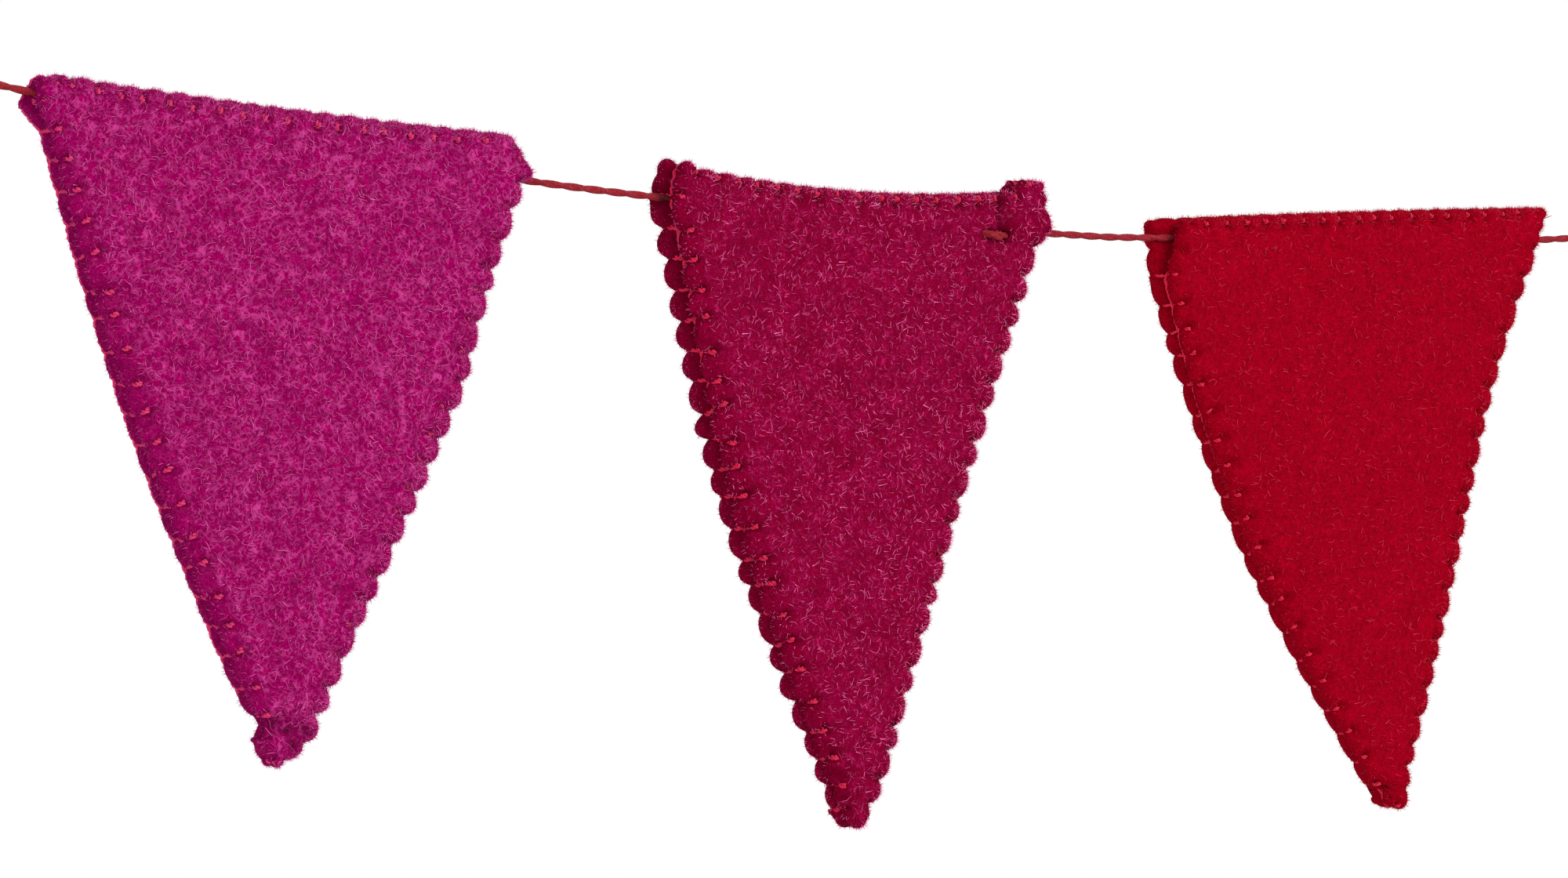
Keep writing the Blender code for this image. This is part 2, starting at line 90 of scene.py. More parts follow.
PENNANTS = (
    Pennant(
        "pennant_left", (33.5, 0.0, -6.0), (116.6, -8.3, -18.1), -1.6, 1.5, 0.6, 0.8, -0.5,
        (
            Corner("top_left", 0.3, 3.0, 3.0, 0.3, 0.0, 1, 1.00, 0.45, -1.1),
            Corner("top_dip", 5.2, 2.5, 0.0, 0.0, -0.5, 18, 0.55, 0.50, -0.6),
            Corner("top_right", 80.2, -4.9, 2.6, 0.1, 0.0, 2, 0.15, 0.50, 0.0),
            Corner("string_out", 84.0, -11.2, 1.2, 0.1, 0.0, 0, 0.00, 0.50, 0.0),
            Corner("step", 82.1, -12.7, 0.0, 0.0, -0.6, 7, 1.00, 0.60, 0.0),
            Corner("hip", 71.2, -45.0, 0.0, 0.0, 0.0, 12, 1.20, 0.60, 0.0),
            Corner("tip_right", 46.4, -98.4, 0.0, 0.0, 0.0, 1, 2.00, 0.55, 0.0),
            Corner("tip_step", 43.9, -103.2, 0.0, 0.0, 0.0, 1, 1.30, 0.45, 0.0),
            Corner("tip_notch", 40.0, -105.8, 0.0, 0.0, 0.0, 0, 0.00, 0.50, 0.0),
            Corner("tip", 38.6, -107.6, 1.2, 0.1, 0.0, 1, 0.30, 0.50, 0.0),
            Corner("tip_left", 36.3, -102.3, 1.3, 0.3, 0.0, 0, 0.00, 0.50, 0.0),
            Corner("left_foot", 37.3, -99.9, 0.0, 0.0, 0.0, 0, 0.00, 0.50, 0.0),
            Corner("left_heel", 36.0, -98.6, 0.0, 0.0, 0.0, 1, 0.60, 0.45, 0.2),
            Corner("left_ankle", 33.5, -94.2, 0.0, 0.0, 1.7, 18, 0.70, 0.45, 0.2),
            Corner("flare", 1.1, -5.8, 0.0, 0.0, 0.0, 1, 0.20, 0.50, 0.2),
            Corner("string_in", -2.8, -1.6, 1.4, 0.3, 0.0, 1, 0.30, 0.50, 1.9),
        ),
    ),
    Pennant(
        "pennant_middle", (142.2, -8.8, -20.4), (224.8, 0.4, -24.6), -1.8, -0.8, 0.8, 0.6, 0.4,
        (
            Corner("top_left", 1.0, 6.8, 2.0, 0.7, 0.0, 1, 0.70, 0.50, 1.4),
            Corner("top_dip_in", 5.3, 4.8, 0.0, 0.0, -1.8, 16, 0.40, 0.50, 0.0),
            Corner("top_dip_out", 73.2, 2.6, 0.0, 0.0, 0.0, 1, 0.30, 0.50, 0.0),
            Corner("shoulder", 75.4, 4.6, 1.0, 0.3, 0.0, 1, 0.30, 0.50, 0.0),
            Corner("top_right", 79.8, 4.6, 1.7, 0.2, 0.0, 2, 0.20, 0.50, 0.0),
            Corner("string_out", 82.3, -3.9, 1.4, 0.1, 0.0, 1, 0.20, 0.50, 0.0),
            Corner("step", 78.8, -6.8, 0.0, 0.0, 0.1, 19, 1.40, 0.56, 0.0),
            Corner("tip_right", 44.5, -97.6, 0.0, 0.0, 0.0, 1, 1.60, 0.50, 0.0),
            Corner("tip_step", 41.3, -101.8, 0.0, 0.0, 0.0, 0, 0.00, 0.50, 0.0),
            Corner("tip_out", 41.2, -103.4, 1.0, 0.2, 0.0, 0, 0.00, 0.50, 0.0),
            Corner("tip", 39.3, -106.4, 1.7, 0.2, 0.0, 0, 0.00, 0.50, 0.0),
            Corner("tip_side", 36.3, -102.9, 2.2, 0.3, 0.0, 1, 0.40, 0.50, 0.0),
            Corner("tip_left", 35.2, -98.4, 0.0, 0.0, 2.5, 20, 1.55, 0.46, -0.5),
            Corner("string_in", -0.8, 0.2, 1.2, 0.0, 0.0, 1, 0.80, 0.50, 1.7),
        ),
    ),
    Pennant(
        "pennant_right", (251.0, 1.0, -24.9), (331.2, 0.0, -24.0), -1.8, -1.1, 0.7, 0.5, -0.3,
        (
            Corner("top_left", -3.8, 3.1, 1.4, 0.2, 0.3, 19, 0.35, 0.50, 5.2),
            Corner("top_right", 82.0, 6.7, 1.5, 0.5, 0.0, 2, 0.15, 0.50, 0.0),
            Corner("string_out", 79.2, -1.0, 0.0, 0.0, -0.5, 6, 0.70, 0.58, 0.0),
            Corner("waist", 68.1, -31.0, 0.0, 0.0, 0.9, 14, 0.75, 0.58, 0.0),
            Corner("tip_right", 50.3, -94.0, 0.0, 0.0, 0.0, 1, 0.60, 0.60, 0.0),
            Corner("tip_hip", 49.9, -98.1, 0.0, 0.0, 0.0, 1, 0.30, 0.50, 0.0),
            Corner("tip", 49.6, -102.2, 1.8, 0.2, 0.0, 1, 0.30, 0.50, 0.0),
            Corner("tip_left", 45.2, -100.5, 1.3, 0.2, 0.0, 0, 0.00, 0.50, 0.0),
            Corner("left_foot", 45.3, -98.3, 0.0, 0.0, 0.0, 0, 0.00, 0.50, 0.0),
            Corner("left_heel", 43.5, -97.3, 0.0, 0.0, 1.9, 15, 0.34, 0.48, -0.7),
            Corner("left_rise", 4.9, -25.9, 0.0, 0.0, 0.2, 4, 0.70, 0.48, 0.1),
            Corner("string_in", -2.7, -7.0, 1.6, 0.0, 0.0, 2, 0.60, 0.50, 1.4),
        ),
    ),
)

# The string's route. A row with a pennant's number gives how far across the string is, how
# far above the straight line through the holes and how far in front of the middle between
# the layers. The others give a place. All are in millimetres. At SURFACE_STITCH the string
# comes out over the front of a pennant.
Route = namedtuple("Route", "pennant x y z")
SURFACE_STITCH = Route(1, 68.5, -1.5, 3.7)
STRING_ROUTE = (
    Route(None, 14.96, 0.0, -2.68),
    Route(None, 26.0, 0.0, -4.66),
    Route(0, 0.0, 0.0, 0.0),
    Route(0, 7.0, 0.0, 0.0),
    Route(0, 76.0, 0.0, 0.0),
    Route(0, 83.5, 0.0, 0.0),
    Route(None, 129.4, -8.9, -19.4),
    Route(1, 0.0, 0.0, 0.0),
    Route(1, 7.0, 0.0, 0.0),
    Route(1, 59.5, -0.3, 0.0),
    Route(1, 64.8, -0.9, 1.8),
    SURFACE_STITCH,
    Route(1, 72.1, -1.2, 1.8),
    Route(1, 76.5, -0.4, 0.0),
    Route(1, 83.1, 0.0, 0.0),
    Route(None, 238.0, 1.0, -25.0),
    Route(2, 0.0, 0.0, 0.0),
    Route(2, 7.0, 0.0, 0.0),
    Route(2, 73.0, 0.0, 0.0),
    Route(2, 80.2, 0.0, 0.0),
    Route(None, 340.0, 0.0, -23.5),
    Route(None, 348.9, 0.0, -22.9),
)

# How thick the string is, the spacing of the points on its smooth route, first for its
# channel and then for its twisted plies, and how many steps these run on into each knot. At
# the surface stitch the plies lie further apart, by SURFACE_SPREAD of their offset.
STRING_STEP = 5.5 * MM
PLY_STEP = 0.8 * MM
INTO_KNOT = 1.6
SURFACE_SPREAD = 1.7
SURFACE_REACH = 1.6 * MM

# The loop tied at each end of the string: along the string's line from the knot's face,
# across it and to its side, in millimetres. It ends in a short cut tail. Then the spacing of
# the points on its smooth route and on its plies.
LoopRow = namedtuple("LoopRow", "along across side")
LOOP_ROUTE = (
    LoopRow(0.7, 0.5, 0.0),
    LoopRow(3.4, 0.5, 0.0),
    LoopRow(6.0, 1.4, 0.0),
    LoopRow(9.6, 2.5, 0.0),
    LoopRow(13.2, 2.3, 0.0),
    LoopRow(15.4, 0.0, 0.0),
    LoopRow(13.2, -2.3, 0.0),
    LoopRow(9.6, -2.5, 0.0),
    LoopRow(6.0, -1.4, 0.0),
    LoopRow(3.4, -0.5, 0.0),
    LoopRow(1.4, -0.6, 0.0),
    LoopRow(-0.9, -2.3, 0.6),
    LoopRow(-3.2, -3.6, 0.8),
)
LOOP_STEP = 2.0 * MM
LOOP_PLY_STEP = 0.7 * MM

# The knot: its gap from the solid string's end, how far along each of its two wraps lies and
# how it tilts, their radius, how far their end is drawn in, how many steps they have and how
# many more where they overlap, their lay as a share of the string's, and the share of a turn
# at which the wraps of each loop start.
LOOP_GAP = 0.4 * MM
WRAPS = ((0.62 * MM, 0.25), (1.68 * MM, -0.2))
WRAP_RING = 1.1 * MM
WRAP_END = 0.12 * MM
WRAP_STEPS = 28
WRAP_OVERLAP = 2
WRAP_LAY = 0.5
WRAP_START = {"loop_left": 0.0, "loop_right": 0.3}

# How a layer of felt is rounded, from the face that meets its twin to the outer face. Each
# row is a ring: how far in from the edge and how high it lies in millimetres, how much of
# the lobes it follows, how much of their swell it has, how far a stitch draws it down at a
# notch, how open it lies to the light, which the felt's colour takes as painted shade, and
# whether it takes every sample or every other.
EdgeRow = namedtuple("EdgeRow", "inset height follow swell groove open every")
EDGE = (
    EdgeRow(1.20, 0.00, 0.9, 0.05, 0.00, 0.20, 1),
    EdgeRow(0.70, 0.10, 1.0, 0.35, 0.00, 0.30, 1),
    EdgeRow(0.30, 0.36, 1.0, 0.65, 0.00, 0.42, 1),
    EdgeRow(0.08, 0.75, 1.0, 0.88, 0.08, 0.60, 1),
    EdgeRow(0.00, 1.20, 1.0, 0.98, 0.14, 0.80, 1),
    EdgeRow(0.00, 1.62, 1.0, 1.00, 0.18, 1.00, 1),
    EdgeRow(0.10, 2.08, 1.0, 0.96, 0.22, 1.00, 1),
    EdgeRow(0.38, 2.48, 0.95, 0.90, 0.26, 1.00, 1),
    EdgeRow(0.85, 2.74, 0.85, 0.85, 0.30, 1.00, 1),
    EdgeRow(1.45, 2.88, 0.65, 0.80, 0.36, 1.00, 1),
    EdgeRow(2.15, 2.96, 0.40, 0.80, 0.38, 1.00, 1),
    EdgeRow(2.95, 3.00, 0.20, 0.80, 0.26, 1.00, 1),
    EdgeRow(3.80, 3.00, 0.00, 0.80, 0.08, 1.00, 1),
    EdgeRow(4.80, 3.00, 0.00, 0.80, 0.00, 1.00, 2),
)

# A layer's thickness, the gap between the two layers of a pennant, what both and the gap come
# to in millimetres, and the radius of the string's channel.
FELT_HEIGHT = EDGE[-1].height * MM
LAYER_GAP = 0.5 * MM
BOTH_LAYERS = 2 * EDGE[-1].height + LAYER_GAP / MM
CHANNEL_RADIUS = 0.74 * MM

# How a layer's edge is drawn: how uneven its stitches and its lobes are, how full a lobe is,
# and how many samples it has. Then the samples on a rounded corner, at least and for each
# millimetre of its radius, and how far the felt is drawn down at a bare corner and a round one.
STITCH_JITTER = 0.13
DEPTH_JITTER = 0.32
LOBE_FULLNESS = 0.75
LOBE_STEPS = 10
LEAST_ROUND = 4
ROUND_STEPS = 2.2
BARE_PINCH = 0.4
ROUND_PINCH = 0.3

# The share of the room inside the edge that its rings may take, the least depth and distance
# at which a sample counts when that room is measured, and the length over which the way out
# turns where two sides meet.
ROOM_SHARE = 0.6
TOUCHING = 1e-7
NEIGHBOUR = 1.0 * MM
EASE = 1.6 * MM

# How far a notch may be drawn down at most, how dark its painted shade is on open rings and
# how much darker on shut ones, and how quickly a side that turns left counts as facing left.
MOST_DRAWN = 0.9
NOTCH_SHADE = 0.3
SHUT_SHADE = 0.5
LEFT_GAIN = 1.5

# How the cloth bends: how quickly it leaves the string, the width from which an edge bends
# in full, how far the bend runs on past the edges, and the height that leans at the top.
BELLY_FALL = 1.5
FULL_WIDTH = 40.0
LEAST_WIDTH = 6.0
PAST_EDGE = 0.3
LEAN_HEIGHT = 6.0

# Spacing of the cuts across the outer face and across the face that meets its twin, how near
# a point a cut snaps to it, and how near each other two points are merged.
FACE_STEP = 1.5 * MM
MATE_STEP = 6.0 * MM
SNAP = 0.1 * MM
WELD = 1e-7

# Where the wool grows. The nap has its full length from FULL_NAP in from the edge, in
# millimetres, and a point on a flat face counts as PLAIN_FACE in. At the edge the fibres are
# closer by EDGE_NAP and shorter by EDGE_LENGTH, and the short hairs thin out by FUZZ_FALL.
FULL_NAP = 3.0
PLAIN_FACE = 9.0
EDGE_NAP = 0.4
EDGE_LENGTH = 0.45
FUZZ_FALL = 0.96

# The face that meets its twin: how high it reaches, how open to the light it is, as painted
# shade, and how much nap its rim has.
INNER_HEIGHT = 0.3 * MM
INNER_LIGHT = 0.2
INNER_NAP = 0.5

# The band of painted shade along the sides that face left, where fewer pale fibres and short
# hairs grow: how far in it ends and over what width, in millimetres, how much nap and how many
# short hairs it lacks, and how wide the rim is on which a back layer keeps its hairs.
BAND_END = 4.0
BAND_FADE = 1.5
SHADE_BAND_NAP_LOSS = 0.85
SHADE_BAND_FUZZ_LOSS = 0.8
BAND_RIM = 0.5

# The felt's lumps, large and small, how strong the small ones are, and the height from which
# the felt has any relief, as a share.
LUMP_SIZE = 6.0 * MM
SMALL_LUMP_SIZE = 2.5 * MM
SMALL_LUMPS = 0.6
LEAST_RELIEF = 0.3

# How much painted shade darkens the felt in a pit, in a crease of one millimetre, in a
# crease at most and in a hollow.
PIT_SHADE = 0.6
CREASE_SHADE = 0.7
DEEPEST_SHADE = 0.8
HOLLOW_SHADE = 0.9

# How wide the groove of a stitch is, and how far in and how wide the pit is in which its leg
# ends, where the leg has its full length.
GROOVE_WIDTH = 0.85 * MM
PIT_INSET = 2.7 * MM
PIT_WIDTH = 0.8 * MM

# Creases pressed into the front layers: from one point to another on a pennant, in
# millimetres across and above its hole, how deep and how wide. A ridge has a depth below 0.
Crease = namedtuple("Crease", "pennant u0 v0 u1 v1 depth width")
CREASES = (
    Crease(0, 35.8, -99.6, 38.8, -99.4, 0.9, 0.9),
    Crease(0, 38.8, -99.4, 41.0, -100.6, 1.2, 1.0),
    Crease(0, 41.0, -100.6, 41.6, -103.4, 1.3, 1.0),
    Crease(0, 38.0, -102.6, 38.2, -104.4, -0.6, 1.5),
    Crease(0, 43.6, -100.5, 44.6, -101.2, 1.2, 0.8),
    Crease(0, 40.4, -95.2, 40.8, -97.4, -0.4, 2.0),
    Crease(1, 70.4, 3.6, 70.5, -4.6, 1.7, 0.9),
    Crease(1, 74.2, 3.0, 74.2, -6.0, -0.6, 1.6),
    Crease(1, 66.8, 2.6, 66.6, -0.5, -0.3, 1.4),
    Crease(1, 71.9, -5.0, 72.2, -5.5, 2.2, 1.0),
    Crease(1, 29.8, -91.4, 36.2, -92.6, 0.9, 0.9),
    Crease(1, 30.6, -95.4, 37.6, -96.8, 1.2, 0.9),
    Crease(1, 34.0, -99.4, 37.2, -100.6, 1.3, 0.8),
    Crease(1, 40.4, -96.0, 42.6, -97.2, 0.9, 0.8),
    Crease(2, 41.6, -97.0, 45.4, -97.0, 0.9, 0.8),
    Crease(2, 47.1, -97.6, 47.4, -99.8, 0.8, 0.7),
)

# Loose pale hairs that stand off the felt: where each starts on a pennant's front, in
# millimetres, which way it runs in degrees, how long it is and how much it curls over its
# length in degrees.
Hair = namedtuple("Hair", "pennant u v heading length curl")
HAIRS = (
    Hair(0, 54.0, -5.2, 38.0, 8.0, -75.0),
    Hair(0, 56.5, -4.0, 5.0, 10.0, -50.0),
    Hair(0, 66.0, -8.6, 20.0, 6.0, 60.0),
    Hair(0, 29.0, -35.0, -100.0, 4.0, 30.0),
    Hair(1, 1.0, 1.6, -12.0, 1.6, 20.0),
    Hair(1, 9.1, 2.7, -84.0, 4.8, -12.0),
    Hair(1, 9.3, 2.1, -15.0, 2.4, -20.0),
    Hair(1, 22.3, 2.2, -60.0, 5.0, -70.0),
    Hair(1, 23.8, 1.5, -20.0, 3.0, -30.0),
    Hair(1, -0.3, -3.7, -80.0, 5.2, 10.0),
)

# How each pennant's felt looks: the ground, its darker colour between the fibres, which is
# also the colour of its painted shade, and the fibres on top, how wide those drawn on it are,
# how many there are in a millimetre and how much they cover. Then the free fibres: their
# palest colour, how many there are for each mm2 on the front and on the back, and how long
# and how thick they are in millimetres.
FeltLook = namedtuple(
    "FeltLook",
    "slot ground deep fibre web_width web_scale web_share pale nap_front nap_back length radius",
)
FELT_LOOKS = (
    FeltLook(
        "pennant_left_felt", (0.43, 0.001, 0.128), (0.13, 0.0, 0.038), (0.56, 0.054, 0.275),
        0.062, 0.60, 0.90, (0.76, 0.14, 0.45), 1.30, 0.34, 2.0, 0.051,
    ),
    FeltLook(
        "pennant_middle_felt", (0.33, 0.0002, 0.042), (0.12, 0.0, 0.010), (0.68, 0.022, 0.20),
        0.045, 0.95, 0.50, (1.00, 0.18, 0.49), 1.50, 0.32, 1.7, 0.037,
    ),
    FeltLook(
        "pennant_right_felt", (0.380, 0.0, 0.0125), (0.22, 0.0, 0.006), (0.60, 0.006, 0.050),
        0.030, 0.80, 0.25, (0.62, 0.028, 0.070), 0.50, 0.28, 1.7, 0.072,
    ),
)

# The thread round each pennant: how far in from the notches it lies, how far in front of the
# middle between the layers, how thick a ply is, how long its stitches and how deep their pits
# are, as shares, and its colour. The left pennant's paler pink is partly the thread's own
# colour and partly painted highlight on the glossy thread.
ThreadLook = namedtuple("ThreadLook", "purl purl_front ply leg pit colour")
THREAD_LOOKS = (
    ThreadLook(-0.1, -2.1, 1.42, 0.94, 0.3, (0.92, 0.040, 0.19)),
    ThreadLook(0.9, 0.3, 1.45, 0.38, 0.7, (0.82, 0.014, 0.085)),
    ThreadLook(0.3, 0.8, 1.10, 0.45, 0.2, (0.95, 0.015, 0.07)),
)

# Where the thread lies deeper in the edge: on which pennant, where on it, how far round that
# place and how much deeper, in millimetres.
Tuck = namedtuple("Tuck", "pennant u v reach depth")
TUCKS = (
    Tuck(0, 38.8, -105.5, 8.0, 1.3),
    Tuck(1, 38.2, -104.2, 4.5, 1.7),
    Tuck(2, 0.0, 1.5, 7.0, 2.4),
)

# Where a back layer is pressed backwards to a hollow round the string, which painted shade
# darkens on the felt and on the string: on which pennant, where on it, how deep and how wide,
# in millimetres.
Hollow = namedtuple("Hollow", "pennant u v depth width")
HOLLOWS = (Hollow(1, 0.0, 0.1, 0.9, 1.7), Hollow(2, 0.9, 0.2, 0.6, 1.2))


class FeltSettings(PropertyGroup):
    """The pennants' felt."""

    groove: FloatProperty(
        name="Stitch groove", description="How far a stitch draws the felt down, as a share",
        default=1.0, min=0.0, max=1.5,
    )
    pit: FloatProperty(
        name="Pit depth", description="Depth of the pit where a stitch goes through the felt",
        default=0.7 * MM, min=0.0, max=2.0 * MM, unit="LENGTH",
    )
    lumps: FloatProperty(
        name="Lumps", description="How far the felt's face rises and falls",
        default=0.22 * MM, min=0.0, max=1.0 * MM, unit="LENGTH",
    )
    roughness: FloatProperty(
        name="Roughness", description="Roughness of the wool", default=0.9, min=0.0, max=1.0,
        subtype="FACTOR",
    )


class NapSettings(PropertyGroup):
    """The loose fibres on the felt."""

    thickness: FloatProperty(
        name="Thickness", description="How thick the fibres are, as a share",
        default=1.0, min=0.1, max=3.0,
    )
    shapes: IntProperty(
        name="Fibre shapes", description="How many different fibres there are", default=12,
        min=1, max=40,
    )
    density: FloatProperty(
        name="Density", description="How many fibres there are, as a share", default=1.0,
        min=0.0, max=2.0,
    )
    fuzz: FloatProperty(
        name="Fuzz", description="How many short hairs stand on each mm2 of an edge",
        default=10.0, min=0.0, max=20.0,
    )
    seed: IntProperty(name="Seed", description="Seed of the fibres' places", default=7, min=0)


class StitchSettings(PropertyGroup):
    """The blanket stitch."""

    ply_radius: FloatProperty(
        name="Ply radius", description="Radius of one ply of the thread",
        default=0.19 * MM, min=0.05 * MM, max=0.4 * MM, unit="LENGTH",
    )
    twist: FloatProperty(
        name="Lay length", description="Length in which the thread's plies turn once",
        default=1.8 * MM, min=0.5 * MM, max=20 * MM, unit="LENGTH",
    )
    bow: FloatProperty(
        name="Bow", description="How far the thread follows the lobes between two stitches",
        default=0.35, min=0.0, max=1.0, subtype="FACTOR",
    )


class StringSettings(PropertyGroup):
    """The string with its two loops."""

    ply_radius: FloatProperty(
        name="Ply radius", description="Radius of one of the two plies",
        default=0.47 * MM, min=0.1 * MM, max=1.0 * MM, unit="LENGTH",
    )
    ply_offset: FloatProperty(
        name="Ply offset", description="How far a ply's middle is from the string's middle",
        default=0.18 * MM, min=0.1 * MM, max=1.0 * MM, unit="LENGTH",
    )
    twist: FloatProperty(
        name="Lay length", description="Length in which the plies turn once",
        default=8.0 * MM, min=1.0 * MM, max=50 * MM, unit="LENGTH",
    )
    colour: FloatVectorProperty(
        name="String colour", description="Colour of the string", subtype="COLOR",
        default=(0.29, 0.005, 0.016), min=0.0, max=1.0,
    )


class StageSettings(PropertyGroup):
    """The camera, the lights and the floor."""

    lens: FloatProperty(
        name="Lens", description="Focal length of the camera", default=144.0, min=1.0,
        unit="CAMERA",
    )
    key: FloatProperty(name="Key light", description="Power of the main light", default=20.5)
    fill: FloatProperty(name="Fill light", description="Power of the left light", default=14.0)
    rim: FloatProperty(name="Rim light", description="Power of the light behind", default=8.0)
    sky: FloatProperty(name="Sky light", description="Strength of the even light", default=0.28)
    floor_drop: FloatProperty(
        name="Floor", description="How far the floor lies under the string's left end",
        default=0.45, unit="LENGTH",
    )


# ---------------------------------------------------------------------------- places


def across(pennant):
    """The level direction from the hole where the string goes in to where it leaves."""
    run = Vector(pennant.hole_out) - Vector(pennant.hole_in)
    return Vector((run.x, run.y, 0.0)).normalized()


def facing(pennant):
    """The direction that the pennant's front faces."""
    run = across(pennant)
    return Vector((run.y, -run.x, 0.0))


def place(pennant, u, v, w):
    """The point u across, v up and w in front of the hole where the string goes in."""
    hole = Vector(pennant.hole_in) * MM
    return hole + across(pennant) * u + Vector((0.0, 0.0, v)) + facing(pennant) * w


def fall(pennant):
    """How much the string rises inside a pennant for each millimetre across."""
    run = Vector(pennant.hole_out) - Vector(pennant.hole_in)
    return run.z / run.xy.length


def bend(pennant, u, v):
    """How far the middle of the cloth stands in front of the plane through its holes."""
    spots = {corner.name: corner for corner in pennant.corners}
    tip = spots["tip"]
    below = fall(pennant) * u - v
    depth = min(max(below / MM / (fall(pennant) * tip.u - tip.v), 0.0), 1.0)
    left = spots["top_left"].u * (1 - depth) + tip.u * depth
    right = spots["top_right"].u * (1 - depth) + tip.u * depth
    width = max(right - left, LEAST_WIDTH)
    share = min(max((u / MM - left) / width, -PAST_EDGE), 1.0 + PAST_EDGE)
    belly = math.sin(math.pi * depth) ** BELLY_FALL
    edges = pennant.left * (1 - share) ** 2 + pennant.right * share**2
    edges *= min(width / FULL_WIDTH, 1.0)
    middle = pennant.belly * 4 * share * (1 - share)
    rise = min(max(-below / MM / LEAN_HEIGHT, 0.0), 1.0 + PAST_EDGE)
    return (belly * (edges + middle) + pennant.swing * depth**2 + pennant.lean * rise**2) * MM


def hung(pennant, u, v, w):
    """A point of a hung pennant, w in front of the middle of its cloth."""
    return place(pennant, u, v, bend(pennant, u, v) + w)


def string_place(row):
    """One point of the string's route."""
    if row.pennant is None:
        return Vector((row.x, row.y, row.z)) * MM
    pennant = PENNANTS[row.pennant]
    height = row.x * fall(pennant) + row.y
    return place(pennant, row.x * MM, height * MM, row.z * MM)


def smooth_route(points, step):
    """Points about step apart on a smooth curve through the given ones."""
    ends = [points[0] * 2 - points[1]] + points + [points[-1] * 2 - points[-2]]
    route = []
    for before, start, end, after in zip(ends, ends[1:], ends[2:], ends[3:]):
        length = (end - start).length
        out = (end - before).normalized() * length
        arrive = (after - start).normalized() * length
        count = max(2, round(length / step))
        for index in range(count):
            t = index / count
            route.append(
                start * (2 * t**3 - 3 * t**2 + 1)
                + out * (t**3 - 2 * t**2 + t)
                + end * (3 * t**2 - 2 * t**3)
                + arrive * (t**3 - t**2)
            )
    route.append(points[-1].copy())
    return route


# --------------------------------------------------------------------------- threads


def finished_mesh(item):
    """The mesh of an object as its curves or modifiers leave it. The object is removed."""
    bpy.context.view_layer.update()
    evaluated = item.evaluated_get(bpy.context.evaluated_depsgraph_get())
    mesh = bpy.data.meshes.new_from_object(evaluated)
    bpy.data.objects.remove(item)
    return mesh


def tubes(name, routes, radius, sides):
    """Round tubes along routes, as one closed mesh. Higher sides makes them rounder."""
    curve = bpy.data.curves.new(name, "CURVE")
    curve.dimensions = "3D"
    curve.bevel_depth = radius
    curve.bevel_resolution = sides
    curve.use_fill_caps = True
    for route in routes:
        spline = curve.splines.new("POLY")
        spline.points.add(len(route) - 1)
        for target, point in zip(spline.points, route):
            target.co = (*point, 1.0)
    guide = bpy.data.objects.new(name + "_guide", curve)
    bpy.context.scene.collection.objects.link(guide)
    mesh = finished_mesh(guide)
    bpy.data.curves.remove(curve)
    mesh.name = name
    shape = bmesh.new()
    shape.from_mesh(mesh)
    bmesh.ops.remove_doubles(shape, verts=shape.verts, dist=WELD)
    shape.to_mesh(mesh)
    shape.free()
    mesh.shade_smooth()
    return mesh


def twisted(route, offset, lay, phase=0.0, loose=None):
    """The routes of two plies that turn round each other once in each lay length.

    The plies lie further apart near the point loose.
    """
    turn = phase
    side = None
    plies = ([], [])
    last = len(route) - 1
    for index, point in enumerate(route):
        ahead = (route[min(index + 1, last)] - route[max(index - 1, 0)]).normalized()
        if side is None:
            side = ahead.orthogonal().normalized()
        side = (side - ahead * side.dot(ahead)).normalized()
        if index:
            turn += math.tau * (point - route[index - 1]).length / lay
        arm = side * math.cos(turn) + ahead.cross(side) * math.sin(turn)
        arm *= offset
        if loose is not None:
            off = (point - loose).length / SURFACE_REACH
            arm *= 1.0 + SURFACE_SPREAD * math.exp(-(off**2))
        plies[0].append(point + arm)
        plies[1].append(point - arm)
    return plies


def add_piece(name, mesh, material):
    """Puts a finished mesh in the scene, riding on the part's one body."""
    piece = bpy.data.objects.new(name, mesh)
    bpy.context.scene.collection.objects.link(piece)
    mesh.materials.clear()
    mesh.materials.append(material)
    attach(piece, "root")
    return piece


def shade_hollows(mesh):
    """Notes on the string how deep in a pennant's hollow each point lies, for the painted shade
    there.
    """
    tint = mesh.attributes.new("hollow", "FLOAT", "POINT")
    for hollow in HOLLOWS:
        centre = place(PENNANTS[hollow.pennant], hollow.u * MM, hollow.v * MM, 0.0)
        for vert, item in zip(mesh.vertices, tint.data):
            off = (vert.co - centre).length / (hollow.width * MM)
            item.value = max(item.value, math.exp(-(off**2)))


# ------------------------------------------------------------------------------ felt

# One sample of a layer's edge: where it is and which way is out, how far its lobe stands
# out, how far in the notches beside it lie, how far a stitch draws it down, and whether it
# is a notch.
Sample = namedtuple("Sample", "point out rise base pinch notch")


def lobe(t, full):
    """How far a lobe stands out, 0 at its notches and 1 where it is fullest."""
    skew = math.log(0.5) / math.log(full)
    return math.sin(math.pi * min(t, 1.0) ** skew) ** LOBE_FULLNESS


def turned(direction):
    """The outward direction on a side that is walked clockwise."""
    return Vector((-direction.y, direction.x))


def rounding(before, corner, after, radius):
    """How much of each side a rounded corner takes."""
    half = (before - corner).angle(after - corner) / 2
    return radius / math.tan(half)


